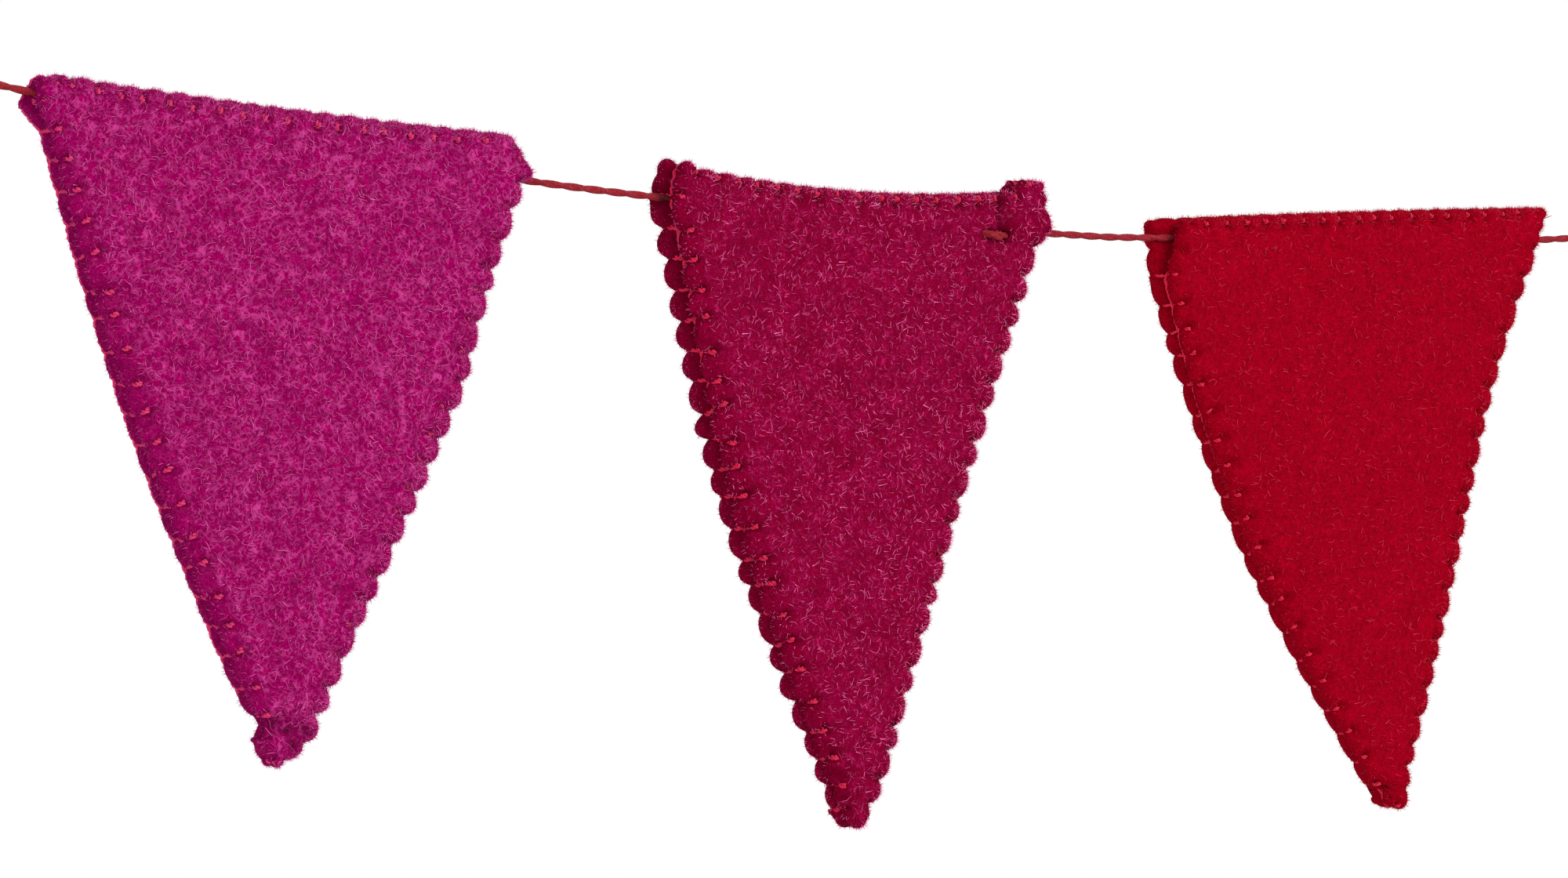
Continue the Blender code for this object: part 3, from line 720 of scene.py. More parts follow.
def outline(corners, front, seed):
    """The samples round the edge of a layer."""
    chance = Random(seed)
    spots = []
    for corner in corners:
        shift = corner.front_shift if front else 0.0
        spots.append(Vector((corner.u + shift, corner.v)) * MM)
    count = len(corners)
    trims = []
    for index, corner in enumerate(corners):
        before, after = spots[index - 1], spots[(index + 1) % count]
        trims.append(rounding(before, spots[index], after, corner.radius * MM))
    samples = []
    for index, corner in enumerate(corners):
        following = (index + 1) % count
        along = (spots[following] - spots[index]).normalized()
        start = spots[index] + along * trims[index]
        end = spots[following] - along * trims[following]
        round_end = corners[following].radius > 0.0
        side_samples = side(corner, start, end, chance, round_end)
        if corner.radius == 0.0:
            previous = (spots[index] - spots[index - 1]).normalized()
            out = (turned(previous) + turned(along)).normalized()
            side_samples[0] = side_samples[0]._replace(out=out)
        samples += side_samples
        if round_end:
            after = (spots[(following + 1) % count] - spots[following]).normalized()
            samples += rounded(corners[following], end, along, after)
    return samples


def side(corner, start, end, chance, round_end):
    """The samples along the side that starts at a corner, without its far end."""
    run = end - start
    out = turned(run.normalized())
    if corner.stitches == 0:
        return [Sample(start, out, 0.0, 0.0, BARE_PINCH, False)]
    bounds = [0.0]
    for number in range(1, corner.stitches):
        bounds.append((number + chance.uniform(-STITCH_JITTER, STITCH_JITTER)) / corner.stitches)
    bounds.append(1.0)
    bow = corner.bow * MM
    samples = []
    for number, (low, high) in enumerate(zip(bounds, bounds[1:]), 1):
        depth = corner.depth * MM * (1.0 + chance.uniform(-DEPTH_JITTER, DEPTH_JITTER))
        open_end = round_end and number == corner.stitches
        for step in range(LOBE_STEPS):
            t = 0.5 - 0.5 * math.cos(math.pi * step / LOBE_STEPS)
            x = low + (high - low) * t
            point = start + run * x + out * bow * 4 * x * (1 - x)
            slope = (run + out * bow * 4 * (1 - 2 * x)).normalized()
            rise = depth * (lobe(t, corner.full) - 0.5)
            base = -depth / 2
            near = t
            if open_end and t > 0.5:
                rise = max(rise, 0.0)
                base *= 2 - 2 * t
            elif t > 0.5:
                near = 1 - t
            pinch = math.exp(-((near * (high - low) * run.length / GROOVE_WIDTH) ** 2))
            samples.append(Sample(point, turned(slope), rise, base, pinch, step == 0))
    return samples


def rounded(corner, start, along, after):
    """The samples on a rounded corner, from the end of one side to the start of the next."""
    first = turned(along)
    centre = start - first * corner.radius * MM
    turn = along.angle(after)
    count = LEAST_ROUND + round(ROUND_STEPS * corner.radius)
    dip = -corner.depth * MM / 2 if corner.stitches else 0.0
    samples = []
    for index in range(count):
        share = index / count
        out = first.copy()
        out.rotate(Matrix.Rotation(-turn * share, 2))
        near = max(0.0, (share - 0.5) * 2) ** 2
        rise = corner.blob * MM * math.sin(math.pi * share) + dip * near
        point = centre + out * corner.radius * MM
        samples.append(Sample(point, out, rise, dip * near, ROUND_PINCH * near, False))
    return samples


def eased(samples):
    """The way out at each sample, turned little by little where two sides meet."""
    points = np.array([sample.point for sample in samples])
    outs = np.array([sample.out for sample in samples])
    steps = np.linalg.norm(np.roll(points, -1, 0) - points, axis=1)
    along = np.cumsum(steps)
    gaps = np.abs(along[:, None] - along[None])
    gaps = np.minimum(gaps, along[-1] - gaps)
    weights = np.exp(-((gaps / EASE) ** 2)) * (steps + np.roll(steps, -1))
    mean = weights @ outs
    return mean / np.linalg.norm(mean, axis=1)[:, None]


def room(samples):
    """The radius of the largest circle inside the edge that touches it at each sample."""
    points = np.array([sample.point for sample in samples])
    gaps = points[:, None] - points[None]
    depths = (gaps * eased(samples)[:, None]).sum(2)
    squares = (gaps**2).sum(2)
    near = (depths > TOUCHING) & (squares > NEIGHBOUR**2)
    radii = np.where(near, squares / np.where(near, 2 * depths, 1.0), 1.0).min(1)
    spread = [np.roll(radii, shift) for shift in range(-3, 4)]
    return np.minimum(radii, np.mean(spread, axis=0))


def settle(inset, radius):
    """An inset that stays inside the room there is."""
    limit = ROOM_SHARE * radius
    return inset * limit / (inset + limit)


def ring(shape, samples, radii, ways, row, settings):
    """A closed ring of edges on a layer's edge.

    Also tells how open each point is to the light, as painted shade, how far in it lies and how
    much it faces left.
    """
    points = []
    for sample, radius, way in list(zip(samples, radii, ways))[:: row.every]:
        swell = sample.base + (sample.rise - sample.base) * row.swell
        spot = sample.point + sample.out * swell * row.follow
        spot -= Vector(way) * settle(row.inset * MM, radius)
        drawn = min(row.groove * settings.groove * sample.pinch, MOST_DRAWN)
        vert = shape.verts.new((spot.x, spot.y, row.height * MM * (1.0 - drawn)))
        left = min(max(-LEFT_GAIN * sample.out.x, 0.0), 1.0)
        # Painted shade: darker at the notches, and more so on rings that lie shut.
        shade = NOTCH_SHADE + SHUT_SHADE * (1.0 - row.open)
        light = row.open * (1.0 - shade * sample.pinch)
        points.append((vert, (light, row.inset, left)))
    verts = [vert for vert, _ in points]
    edges = [shape.edges.new(pair) for pair in zip(verts, verts[1:] + verts[:1])]
    return edges, dict(points)


def cut_grid(shape, face, step):
    """Cuts across one flat face of a layer, so that it can bend."""
    pieces = [face]
    for axis in (Vector((1, 0, 0)), Vector((0, 1, 0))):
        reach = [vert.co.dot(axis) for vert in shape.verts]
        low, high = min(reach), max(reach)
        count = round((high - low) / step)
        for number in range(1, count):
            spot = axis * (low + (high - low) * number / count)
            geometry = set(pieces)
            for piece in pieces:
                geometry.update(piece.edges, piece.verts)
            cut = bmesh.ops.bisect_plane(
                shape, geom=list(geometry), dist=SNAP, plane_co=spot, plane_no=axis
            )
            pieces = [item for item in cut["geom"] if isinstance(item, bmesh.types.BMFace)]


def pit_tree(number, samples, radii):
    """The pits where the stitches go through a layer, ready to be searched."""
    inset = PIT_INSET * THREAD_LOOKS[number].leg
    spots = []
    for sample, radius in zip(samples, radii):
        if sample.notch:
            spots.append(sample.point + sample.out * (sample.base - settle(inset, radius)))
    tree = KDTree(len(spots))
    for index, spot in enumerate(spots):
        tree.insert((spot.x, spot.y, 0.0), index)
    tree.balance()
    return tree


def crease_depth(number, u, v):
    """How deep the hand-pressed creases are at a point of a front layer."""
    deep = 0.0
    for crease in CREASES:
        if crease.pennant != number:
            continue
        start = Vector((crease.u0, crease.v0)) * MM
        run = Vector((crease.u1, crease.v1)) * MM - start
        gap = Vector((u, v)) - start
        share = min(max(gap.dot(run) / run.length_squared, 0.0), 1.0)
        off = (gap - run * share).length
        deep += crease.depth * MM * math.exp(-((off / (crease.width * MM)) ** 2))
    return deep


def hollow_share(number, u, v):
    """How far a point lies in a hollow, as a share, and how deep it is pressed there."""
    share = depth = 0.0
    for hollow in HOLLOWS:
        if hollow.pennant == number:
            off = (Vector((u, v)) - Vector((hollow.u, hollow.v)) * MM).length
            near = math.exp(-((off / (hollow.width * MM)) ** 2))
            share = max(share, near)
            depth = max(depth, hollow.depth * MM * near)
    return share, depth


def relief(number, front, u, v, height, pits, settings):
    """The height of a point with its lumps, pit and creases, and the share of light it keeps, for
    the painted shade.
    """
    share = height / FELT_HEIGHT
    if share <= LEAST_RELIEF:
        return height, 1.0
    spot = Vector((u, v, 0.0))
    pit = 0.0
    for _, _, gap in pits.find_range(spot, 3 * PIT_WIDTH):
        pit = max(pit, math.exp(-((gap / PIT_WIDTH) ** 2)))
    seed = Vector((0.0, 0.0, 10.0 * number + front))
    lump = noise.noise(spot / LUMP_SIZE + seed)
    lump += SMALL_LUMPS * noise.noise(spot / SMALL_LUMP_SIZE + seed)
    depth = THREAD_LOOKS[number].pit
    height += settings.lumps * lump * share - settings.pit * depth * pit
    deep = crease_depth(number, u, v) if front else 0.0
    shade = min(max(CREASE_SHADE * deep / MM, 0.0), DEEPEST_SHADE)
    return height - deep, (1.0 - PIT_SHADE * (pit * depth)) * (1.0 - shade)


def wool_growth(front, height, inset, left):
    """How close the nap and the short hairs are at a point, and how long the fibres. Sides that
    face left get fewer, as painted shade.
    """
    far = min(inset / FULL_NAP, 1.0)
    inside = 1.0
    if height < INNER_HEIGHT:
        inside = 0.0 if inset >= PLAIN_FACE else INNER_NAP
    # Painted shade: fewer pale fibres and short hairs on the band along sides that face left.
    nap_painted_shade = SHADE_BAND_NAP_LOSS * left * min(max((BAND_END - inset) / BAND_FADE, 0.0), 1.0)
    fuzz_painted_shade = SHADE_BAND_FUZZ_LOSS * left * (1.0 if front else min(inset / BAND_RIM, 1.0))
    return {
        "nap": (1.0 + EDGE_NAP - EDGE_NAP * far) * (1.0 - nap_painted_shade) * inside,
        "fuzz": (1.0 - FUZZ_FALL * far) * (1.0 - fuzz_painted_shade) * inside,
        "reach": 1.0 - EDGE_LENGTH + EDGE_LENGTH * far,
    }


def felt_mesh(number, front, samples, settings):
    """One felt triangle with its rounded, lobed edge, hung in its place."""
    pennant = PENNANTS[number]
    radii, ways = room(samples), eased(samples)
    shape = bmesh.new()
    layers = {}
    for name in ("open", "nap", "fuzz", "reach"):
        layers[name] = shape.verts.layers.float.new(name)
    rings = []
    facts = {}
    for row in EDGE:
        edges, found = ring(shape, samples, radii, ways, row, settings)
        rings.append(edges)
        facts.update(found)
    for low, high in zip(rings, rings[1:]):
        bmesh.ops.bridge_loops(shape, edges=low + high)
    for loop, step in ((rings[0], MATE_STEP), (rings[-1], FACE_STEP)):
        filled = bmesh.ops.contextual_create(shape, geom=loop)
        cut_grid(shape, filled["faces"][0], step)
    bmesh.ops.triangulate(shape, faces=shape.faces, ngon_method="BEAUTY")
    bmesh.ops.recalc_face_normals(shape, faces=shape.faces)

    pits = pit_tree(number, samples, radii)
    for vert in shape.verts:
        u, v, height = vert.co
        # The face that meets its twin gets painted shade.
        plain = 1.0 if height > FELT_HEIGHT / 2 else INNER_LIGHT
        light, inset, left = facts.get(vert, (plain, PLAIN_FACE, 0.0))
        for name, value in wool_growth(front, height, inset, left).items():
            vert[layers[name]] = value
        height, kept = relief(number, front, u, v, height, pits, settings)
        away = (1.0 if front else -1.0) * (LAYER_GAP / 2 + height)
        if not front:
            near, pressed = hollow_share(number, u, v)
            away -= pressed
            # Painted shade in the hollow round the string.
            kept *= 1.0 - HOLLOW_SHADE * near
        # This light value, kept as the open attribute, paints shade into the felt's and the nap's
        # colour.
        vert[layers["open"]] = light * kept
        vert.co = hung(pennant, u, v, away)
    if not front:
        bmesh.ops.reverse_faces(shape, faces=shape.faces)
    mesh = mesh_from(f"{pennant.name}_felt", shape)
    mesh.shade_smooth()
    return mesh


def cut_channel(mesh, channel):
    """Opens the string's channel through a layer of felt."""
    block = bpy.data.objects.new("block", mesh)
    cutter = bpy.data.objects.new("cutter", channel)
    for item in (block, cutter):
        bpy.context.scene.collection.objects.link(item)
    cut = block.modifiers.new("channel", "BOOLEAN")
    cut.operation = "DIFFERENCE"
    cut.solver = "EXACT"
    cut.object = cutter
    opened = finished_mesh(block)
    opened.name = mesh.name
    bpy.data.objects.remove(cutter)
    return opened


def flat_size(samples):
    """The width, height and area of a layer before it was hung."""
    spots = [sample.point + sample.out * sample.rise for sample in samples]
    width = max(spot.x for spot in spots) - min(spot.x for spot in spots)
    height = max(spot.y for spot in spots) - min(spot.y for spot in spots)
    turns = zip(spots, spots[1:] + spots[:1])
    area = abs(sum(a.x * b.y - b.x * a.y for a, b in turns)) / 2
    return width, height, area


def layer_samples(number, front):
    """The edge of one layer, the same each time."""
    return outline(PENNANTS[number].corners, front, 10 * number + front)


# -------------------------------------------------------------------------- stitches

# The leg of a stitch: how far in from the notch, how high over the middle between the
# layers, in millimetres, and how much of its own slant it has there.
LegRow = namedtuple("LegRow", "inset height slant")
LEG = (
    LegRow(0.40, 0.10, 0.0),
    LegRow(0.45, 0.60, 0.0),
    LegRow(0.50, 1.10, 0.0),
    LegRow(0.70, 1.20, 0.1),
    LegRow(1.05, 1.35, 0.3),
    LegRow(1.40, 1.80, 0.5),
    LegRow(1.72, 2.35, 0.7),
    LegRow(2.08, 2.50, 0.9),
    LegRow(2.45, 2.05, 1.0),
    LegRow(2.65, 1.20, 1.0),
)

# How far in a leg lies at least, the room between it and the thread along the edge, and how
# much deeper than elsewhere the thread lies where it has no legs, in millimetres.
LEAST_INSET = 0.35
PURL_ROOM = 0.2
UNSEWN = 1.5

# How far a leg slants, how uneven its length is, how deep it is drawn into the felt on a side
# that faces right, the spacing of its points and the seed of all this.
LEG_SLANT = 0.45 * MM
LEG_STRETCH = 0.15
LEG_SINK = 1.5 * MM
LEG_SUNK = (0.4, 1.0)
LEG_STEP = 0.7 * MM
LEG_SEED = 100

# The thread along the edge: the spacing of its points and its lay, as a share of a leg's. The
# plies of all the thread lie PLY_SPREAD of their radius from its middle.
PURL_STEP = 0.55 * MM
PURL_LAY = 1.6
PLY_SPREAD = 0.9


def tucked(number, point):
    """How much deeper than elsewhere the thread of a pennant lies at a point."""
    deep = 0.0
    for tuck in TUCKS:
        if tuck.pennant == number:
            reach = (point / MM - Vector((tuck.u, tuck.v))).length / tuck.reach
            deep = max(deep, tuck.depth * math.exp(-(reach**4)))
    return deep


def rail_route(number, front, back, bow):
    """Where the thread runs along the edge, with one point for each sample."""
    look = THREAD_LOOKS[number]
    share = 0.5 + look.purl_front / BOTH_LAYERS
    spots = []
    for pair in zip(front, back):
        inset = (look.purl + tucked(number, pair[0].point)) * MM
        near, far = (
            one.point + one.out * (one.base + (one.rise - one.base) * bow - inset) for one in pair
        )
        spots.append(near * share + far * (1.0 - share))
    rail = []
    for index, spot in enumerate(spots):
        even = (spots[index - 1] + spot * 2 + spots[(index + 1) % len(spots)]) / 4
        rail.append(hung(PENNANTS[number], even.x, even.y, look.purl_front * MM))
    return rail


def leg_route(number, way, start, sample, radius, slant, stretch, sink):
    """The leg of one stitch, from the thread along the edge to its pit."""
    look = THREAD_LOOKS[number]
    leg = [start]
    for row in LEG:
        if row.height <= way * look.purl_front + PURL_ROOM:
            continue
        inset = settle(max(row.inset * look.leg * stretch, LEAST_INSET) * MM, radius)
        spot = sample.point + sample.out * (sample.base - inset)
        spot -= turned(sample.out) * slant * row.slant
        height = LAYER_GAP / 2 + row.height * MM - sink * row.slant
        leg.append(hung(PENNANTS[number], spot.x, spot.y, way * height))
    return smooth_route(leg, LEG_STEP)


def stitch_routes(number, settings):
    """The routes of every ply of the thread round one pennant."""
    front, back = layer_samples(number, True), layer_samples(number, False)
    rail = rail_route(number, front, back, settings.bow)
    offset = settings.ply_radius * THREAD_LOOKS[number].ply * PLY_SPREAD
    purl = [rail[0]]
    for spot in rail:
        if (spot - purl[-1]).length > PURL_STEP:
            purl.append(spot)
    routes = list(twisted(purl + [rail[0]], offset, settings.twist * PURL_LAY))
    chance = Random(LEG_SEED + number)
    for samples, way in ((front, 1.0), (back, -1.0)):
        for start, sample, radius in zip(rail, samples, room(samples)):
            slant = chance.uniform(-1.0, 1.0) * LEG_SLANT
            stretch = 1.0 + chance.uniform(-LEG_STRETCH, LEG_STRETCH)
            phase = chance.uniform(0.0, math.tau)
            sink = LEG_SINK * chance.uniform(*LEG_SUNK) * max(sample.out.x, 0.0)
            if sample.notch and tucked(number, sample.point) <= UNSEWN:
                leg = leg_route(number, way, start, sample, radius, slant, stretch, sink)
                routes += twisted(leg, offset, settings.twist, phase)
    return routes


# ------------------------------------------------------------------------------- nap

# The free fibres. One in three stands up and the others lie on the felt: their lengths as
# shares, how far they curl and swerve, how high they rise and how they arch, how many steps
# their path has and how deep in the felt it starts.
FIBRE_SEED = 500
STANDS_EVERY = 3
STANDING = (0.45, 0.75)
LYING = (0.55, 1.4)
CURL = 1.3
SWERVE = 0.8
STANDING_LIFT = 0.4
LYING_LIFTS = (0.04, 0.07, 0.10, 0.15)
STANDING_ARCH = 0.55
LYING_ARCH = 1.1
CLIMB = 1.5
FIBRE_STEPS = 24
FIBRE_ROOT = 0.06 * MM

# The short hairs: their length in millimetres, the radius of their foot, how far their middle
# is above the felt as a share of their length, how far they lean in degrees, and the share of
# them that a back layer has.
FUZZ_SEED = 700
FUZZ_LENGTH = (0.7, 1.6)
FUZZ_RADIUS = 0.09 * MM
FUZZ_RISE = 0.42
FUZZ_LEAN = (5.0, 55.0)
BACK_FUZZ = 0.45

# How far the scattered fibres tilt and how their sizes vary.
NAP_TILT = 0.12
NAP_SIZES = (0.7, 1.25)

# The long loose hairs: how many steps they have, how far their ends and their middle lie in
# front of the gap between the layers, in millimetres, and how thick they are.
HAIR_STEPS = 14
HAIR_FRONT = 3.05
HAIR_RISE = 0.4
HAIR_RADIUS = 0.05 * MM


def mesh_from(name, shape):
    """A mesh from a bmesh, which is freed."""
    mesh = bpy.data.meshes.new(name)
    shape.to_mesh(mesh)
    shape.free()
    return mesh


def fibre_path(index, length):
    """The points along one fibre that starts in the level plane and lies on it or stands."""
    chance = Random(FIBRE_SEED + index)
    stands = index % STANDS_EVERY == 0
    length *= chance.uniform(*(STANDING if stands else LYING))
    curl = chance.uniform(-CURL, CURL)
    swerve = chance.uniform(-SWERVE, SWERVE)
    lift = STANDING_LIFT * length if stands else chance.choice(LYING_LIFTS) * MM
    arch = STANDING_ARCH if stands else LYING_ARCH
    run = length / FIBRE_STEPS
    path = [Vector((0.0, 0.0, -FIBRE_ROOT))]
    for step in range(FIBRE_STEPS):
        share = (step + 0.5) / FIBRE_STEPS
        heading = curl * (share - 0.5) + swerve * math.sin(math.tau * share)
        climb = CLIMB * lift * math.cos(math.pi * share * arch) / FIBRE_STEPS
        path.append(path[-1] + Vector((math.cos(heading) * run, math.sin(heading) * run, climb)))
    return path


def fibre_mesh(index, length, radius):
    """One curved wool fibre, thickest at its middle. The standing ones have fewer faces."""
    path = fibre_path(index, length)
    rings = 3 if index % STANDS_EVERY == 0 else 4
    shape = bmesh.new()
    bmesh.ops.create_uvsphere(shape, u_segments=3, v_segments=rings, radius=1.0)
    for vert in shape.verts:
        spot = (vert.co.z + 1.0) / 2 * FIBRE_STEPS
        low = min(int(spot), FIBRE_STEPS - 1)
        centre = path[low].lerp(path[low + 1], spot - low)
        ahead = (path[low + 1] - path[low]).normalized()
        level = Vector((-ahead.y, ahead.x, 0.0)).normalized()
        rise = ahead.cross(level)
        vert.co = centre + (level * vert.co.x + rise * vert.co.y) * radius
    bmesh.ops.recalc_face_normals(shape, faces=shape.faces)
    return mesh_from(f"fibre_{index}", shape)


def fuzz_mesh(index):
    """One short straight hair that stands up from the felt and leans over."""
    chance = Random(FUZZ_SEED + index)
    length = chance.uniform(*FUZZ_LENGTH) * MM
    shape = bmesh.new()
    bmesh.ops.create_cone(
        shape, cap_ends=True, segments=3, radius1=FUZZ_RADIUS, radius2=0.0, depth=length
    )
    bmesh.ops.translate(shape, verts=shape.verts, vec=(0.0, 0.0, length * FUZZ_RISE))
    lean = Matrix.Rotation(math.radians(chance.uniform(*FUZZ_LEAN)), 3, "Y")
    bmesh.ops.rotate(shape, verts=shape.verts, cent=(0.0, 0.0, 0.0), matrix=lean)
    return mesh_from(f"hair_{index}", shape)


def nap_tree():
    """Geometry nodes that scatter fibres over a mesh and make them one real mesh."""
    tree = bpy.data.node_groups.new("nap", "GeometryNodeTree")
    sockets = (
        ("Geometry", "NodeSocketGeometry"), ("Fibres", "NodeSocketCollection"),
        ("Density", "NodeSocketFloat"), ("Seed", "NodeSocketInt"), ("Cover", "NodeSocketString"),
    )
    for name, kind in sockets:
        tree.interface.new_socket(name, in_out="INPUT", socket_type=kind)
    tree.interface.new_socket("Geometry", in_out="OUTPUT", socket_type="NodeSocketGeometry")

    def node(kind, **values):
        made = tree.nodes.new(kind)
        for name, value in values.items():
            setattr(made, name, value)
        return made

    def chance(kind, low, high, seed_shift):
        made = node("FunctionNodeRandomValue", data_type=kind)
        open_sockets = [socket for socket in made.inputs if socket.enabled]
        pair = [socket for socket in open_sockets if socket.name in ("Min", "Max")]
        pair[0].default_value, pair[1].default_value = low, high
        shift = node("ShaderNodeMath", operation="ADD")
        shift.inputs[1].default_value = seed_shift
        tree.links.new(start.outputs["Seed"], shift.inputs[0])
        tree.links.new(shift.outputs[0], made.inputs["Seed"])
        return number_of(made)

    def number_of(made):
        return next(socket for socket in made.outputs if socket.enabled)

    start = node("NodeGroupInput")
    cover = node("GeometryNodeInputNamedAttribute", data_type="FLOAT")
    tree.links.new(start.outputs["Cover"], cover.inputs["Name"])
    short = node("GeometryNodeInputNamedAttribute", data_type="FLOAT")
    short.inputs["Name"].default_value = "reach"
    share, size = (node("ShaderNodeMath", operation="MULTIPLY") for _ in range(2))
    scatter = node("GeometryNodeDistributePointsOnFaces", distribute_method="RANDOM")
    pick = node("GeometryNodeCollectionInfo")
    pick.inputs["Separate Children"].default_value = True
    pick.inputs["Reset Children"].default_value = True
    turn = node("FunctionNodeRotateRotation", rotation_space="LOCAL")
    put = node("GeometryNodeInstanceOnPoints")
    put.inputs["Pick Instance"].default_value = True
    tint = node("GeometryNodeStoreNamedAttribute", data_type="FLOAT", domain="INSTANCE")
    tint.inputs["Name"].default_value = "shade"
    real = node("GeometryNodeRealizeInstances")
    finish = node("NodeGroupOutput")

    link = tree.links.new
    link(start.outputs["Density"], share.inputs[0])
    link(number_of(cover), share.inputs[1])
    link(start.outputs["Geometry"], scatter.inputs["Mesh"])
    link(share.outputs[0], scatter.inputs["Density"])
    link(start.outputs["Seed"], scatter.inputs["Seed"])
    link(start.outputs["Fibres"], pick.inputs["Collection"])
    link(scatter.outputs["Points"], put.inputs["Points"])
    link(pick.outputs[0], put.inputs["Instance"])
    link(chance("INT", 0, 1000, 1), put.inputs["Instance Index"])
    link(scatter.outputs["Rotation"], turn.inputs["Rotation"])
    most = Vector((NAP_TILT, NAP_TILT, math.pi))
    tilt = chance("FLOAT_VECTOR", -most, most, 2)
    link(tilt, turn.inputs["Rotate By"])
    link(turn.outputs[0], put.inputs["Rotation"])
    link(chance("FLOAT", *NAP_SIZES, 3), size.inputs[0])
    link(number_of(short), size.inputs[1])
    link(size.outputs[0], put.inputs["Scale"])
    link(put.outputs[0], tint.inputs["Geometry"])
    link(chance("FLOAT", 0.0, 1.0, 4), tint.inputs["Value"])
    link(tint.outputs[0], real.inputs["Geometry"])
    link(real.outputs[0], finish.inputs[0])
    return tree


def nap_mesh(felt, tree, fibres, cover, density, seed):
    """The fibres on one layer of felt, as one mesh, spread by the weights named by cover."""
    base = bpy.data.objects.new("nap_base", felt)
    bpy.context.scene.collection.objects.link(base)
    grow = base.modifiers.new("nap", "NODES")
    grow.node_group = tree
    values = {"Fibres": fibres, "Density": density / MM**2, "Seed": seed, "Cover": cover}
    for socket in tree.interface.items_tree:
        if socket.in_out == "INPUT" and socket.name in values:
            grow[socket.identifier] = values[socket.name]
    return finished_mesh(base)


def hair_routes(number):
    """The routes of the loose hairs of one pennant."""
    pennant = PENNANTS[number]
    routes = []
    for hair in HAIRS:
        if hair.pennant != number:
            continue
        u, v = hair.u * MM, hair.v * MM
        route = []
        for step in range(HAIR_STEPS + 1):
            share = step / HAIR_STEPS
            away = LAYER_GAP / 2 + (HAIR_FRONT + HAIR_RISE * math.sin(math.pi * share)) * MM
            route.append(hung(pennant, u, v, away))
            heading = math.radians(hair.heading + hair.curl * share)
            u += math.cos(heading) * hair.length * MM / HAIR_STEPS
            v += math.sin(heading) * hair.length * MM / HAIR_STEPS
        routes.append(route)
    return routes


# ------------------------------------------------------------------------- materials

# The web: the scales of its three sets of strands, the noise values between which a strand
# fades in, the step between their seeds, and the scales of the breaks and of the fine grain.
WEB_SCALES = (1.0, 1.7, 2.6)
WEB_BREAKS = (0.42, 0.56)
WEB_SEED_STEP = 3.7
BREAK_SCALE = 0.8
FINE_SCALE = 6.0

# The felt: its gloss, then the noise scale, the seed and the share of its large and its small
# patches. Next come the values between which the grain goes from deep to pale, the least
# grain and cover where the wool lies thin, how dark it is there, how dark the painted shade
# is where light is shut out, the grain's share of the relief, and how high that is.
FELT_GLOSS = 0.01
LARGE_PATCHES = (0.22, 5.0, 0.6)
SMALL_PATCHES = (0.75, 9.0, 0.4)
FELT_GRAIN = (0.35, 0.62)
LEAST_GRAIN = 0.5
LEAST_COVER = 0.3
PATCH_SHADE = 0.42
SHUT_COLOUR = 0.7
FINE_RELIEF = 0.8
FELT_RELIEF = 0.10 * MM

# The free fibres: their roughness and gloss, the shades between which they go from deep to
# pale, the scale and seed of the patches where they are paler, how strong these are, and from
# which light to which they darken as painted shade where it is shut out.
NAP_ROUGHNESS = 0.8
NAP_GLOSS = 0.02
PALE_RANGE = (0.15, 0.85)
NAP_PATCHES = (0.25, 20.0)
PATCH_GAIN = (0.6, 0.5)
NAP_SHUT = (0.25, 0.8, 0.8, 0.0)

# The yarn of the string and of the thread, each as its roughness, gloss and noise scale. Then
# for both how wide the streaks are, their seed, the deep and the pale colour as shares of the
# yarn's own, the values of the grain, and how strong the streaks are and how high.
STRING_YARN = (0.62, 0.12, 2.2)
THREAD_YARN = (0.5, 0.08, 4.0)
YARN_WEB_WIDTH = 0.08
YARN_SEED = 2.0
YARN_DEEP = 0.55
YARN_PALE = (1.25, 0.03)
YARN_GRAIN = (0.35, 0.6)
YARN_WEB_SHARE = 0.6
YARN_RELIEF = 0.05 * MM

# The painted shade on the string in a hollow: how strong it is, and its colour.
STRING_HOLLOW_SHADE = 0.92
STRING_HOLLOW_SHADE_COLOUR = (0.004, 0.0, 0.001)


def feed(tree, socket, value):
    """Gives a socket a number, a colour or what another socket puts out."""
    if isinstance(value, (int, float)):
        socket.default_value = value
    elif isinstance(value, (tuple, list)):
        socket.default_value = (*value, 1.0)
    else:
        tree.links.new(value, socket)


def new_group(name, inputs, outputs):
    """An empty shader node group with its sockets, and its two end nodes."""
    group = bpy.data.node_groups.new(name, "ShaderNodeTree")
    for label, kind, value in inputs:
        socket = group.interface.new_socket(label, in_out="INPUT", socket_type=kind)
        if value is not None:
            socket.default_value = value
    for label, kind in outputs:
        group.interface.new_socket(label, in_out="OUTPUT", socket_type=kind)
    return group, group.nodes.new("NodeGroupInput"), group.nodes.new("NodeGroupOutput")


def math_node(tree, operation, *values):
    """A maths node on sockets or numbers."""
    node = tree.nodes.new("ShaderNodeMath")
    node.operation = operation
    for socket, value in zip(node.inputs, values):
        feed(tree, socket, value)
    return node.outputs[0]


def noise_node(tree, vector, scale, detail, offset, rough=0.5):
    """A noise texture's value."""
    node = tree.nodes.new("ShaderNodeTexNoise")
    node.noise_dimensions = "4D"
    values = {"Vector": vector, "Scale": scale, "Detail": detail, "Roughness": rough, "W": offset}
    for name, value in values.items():
        feed(tree, node.inputs[name], value)
    return node.outputs["Fac"]


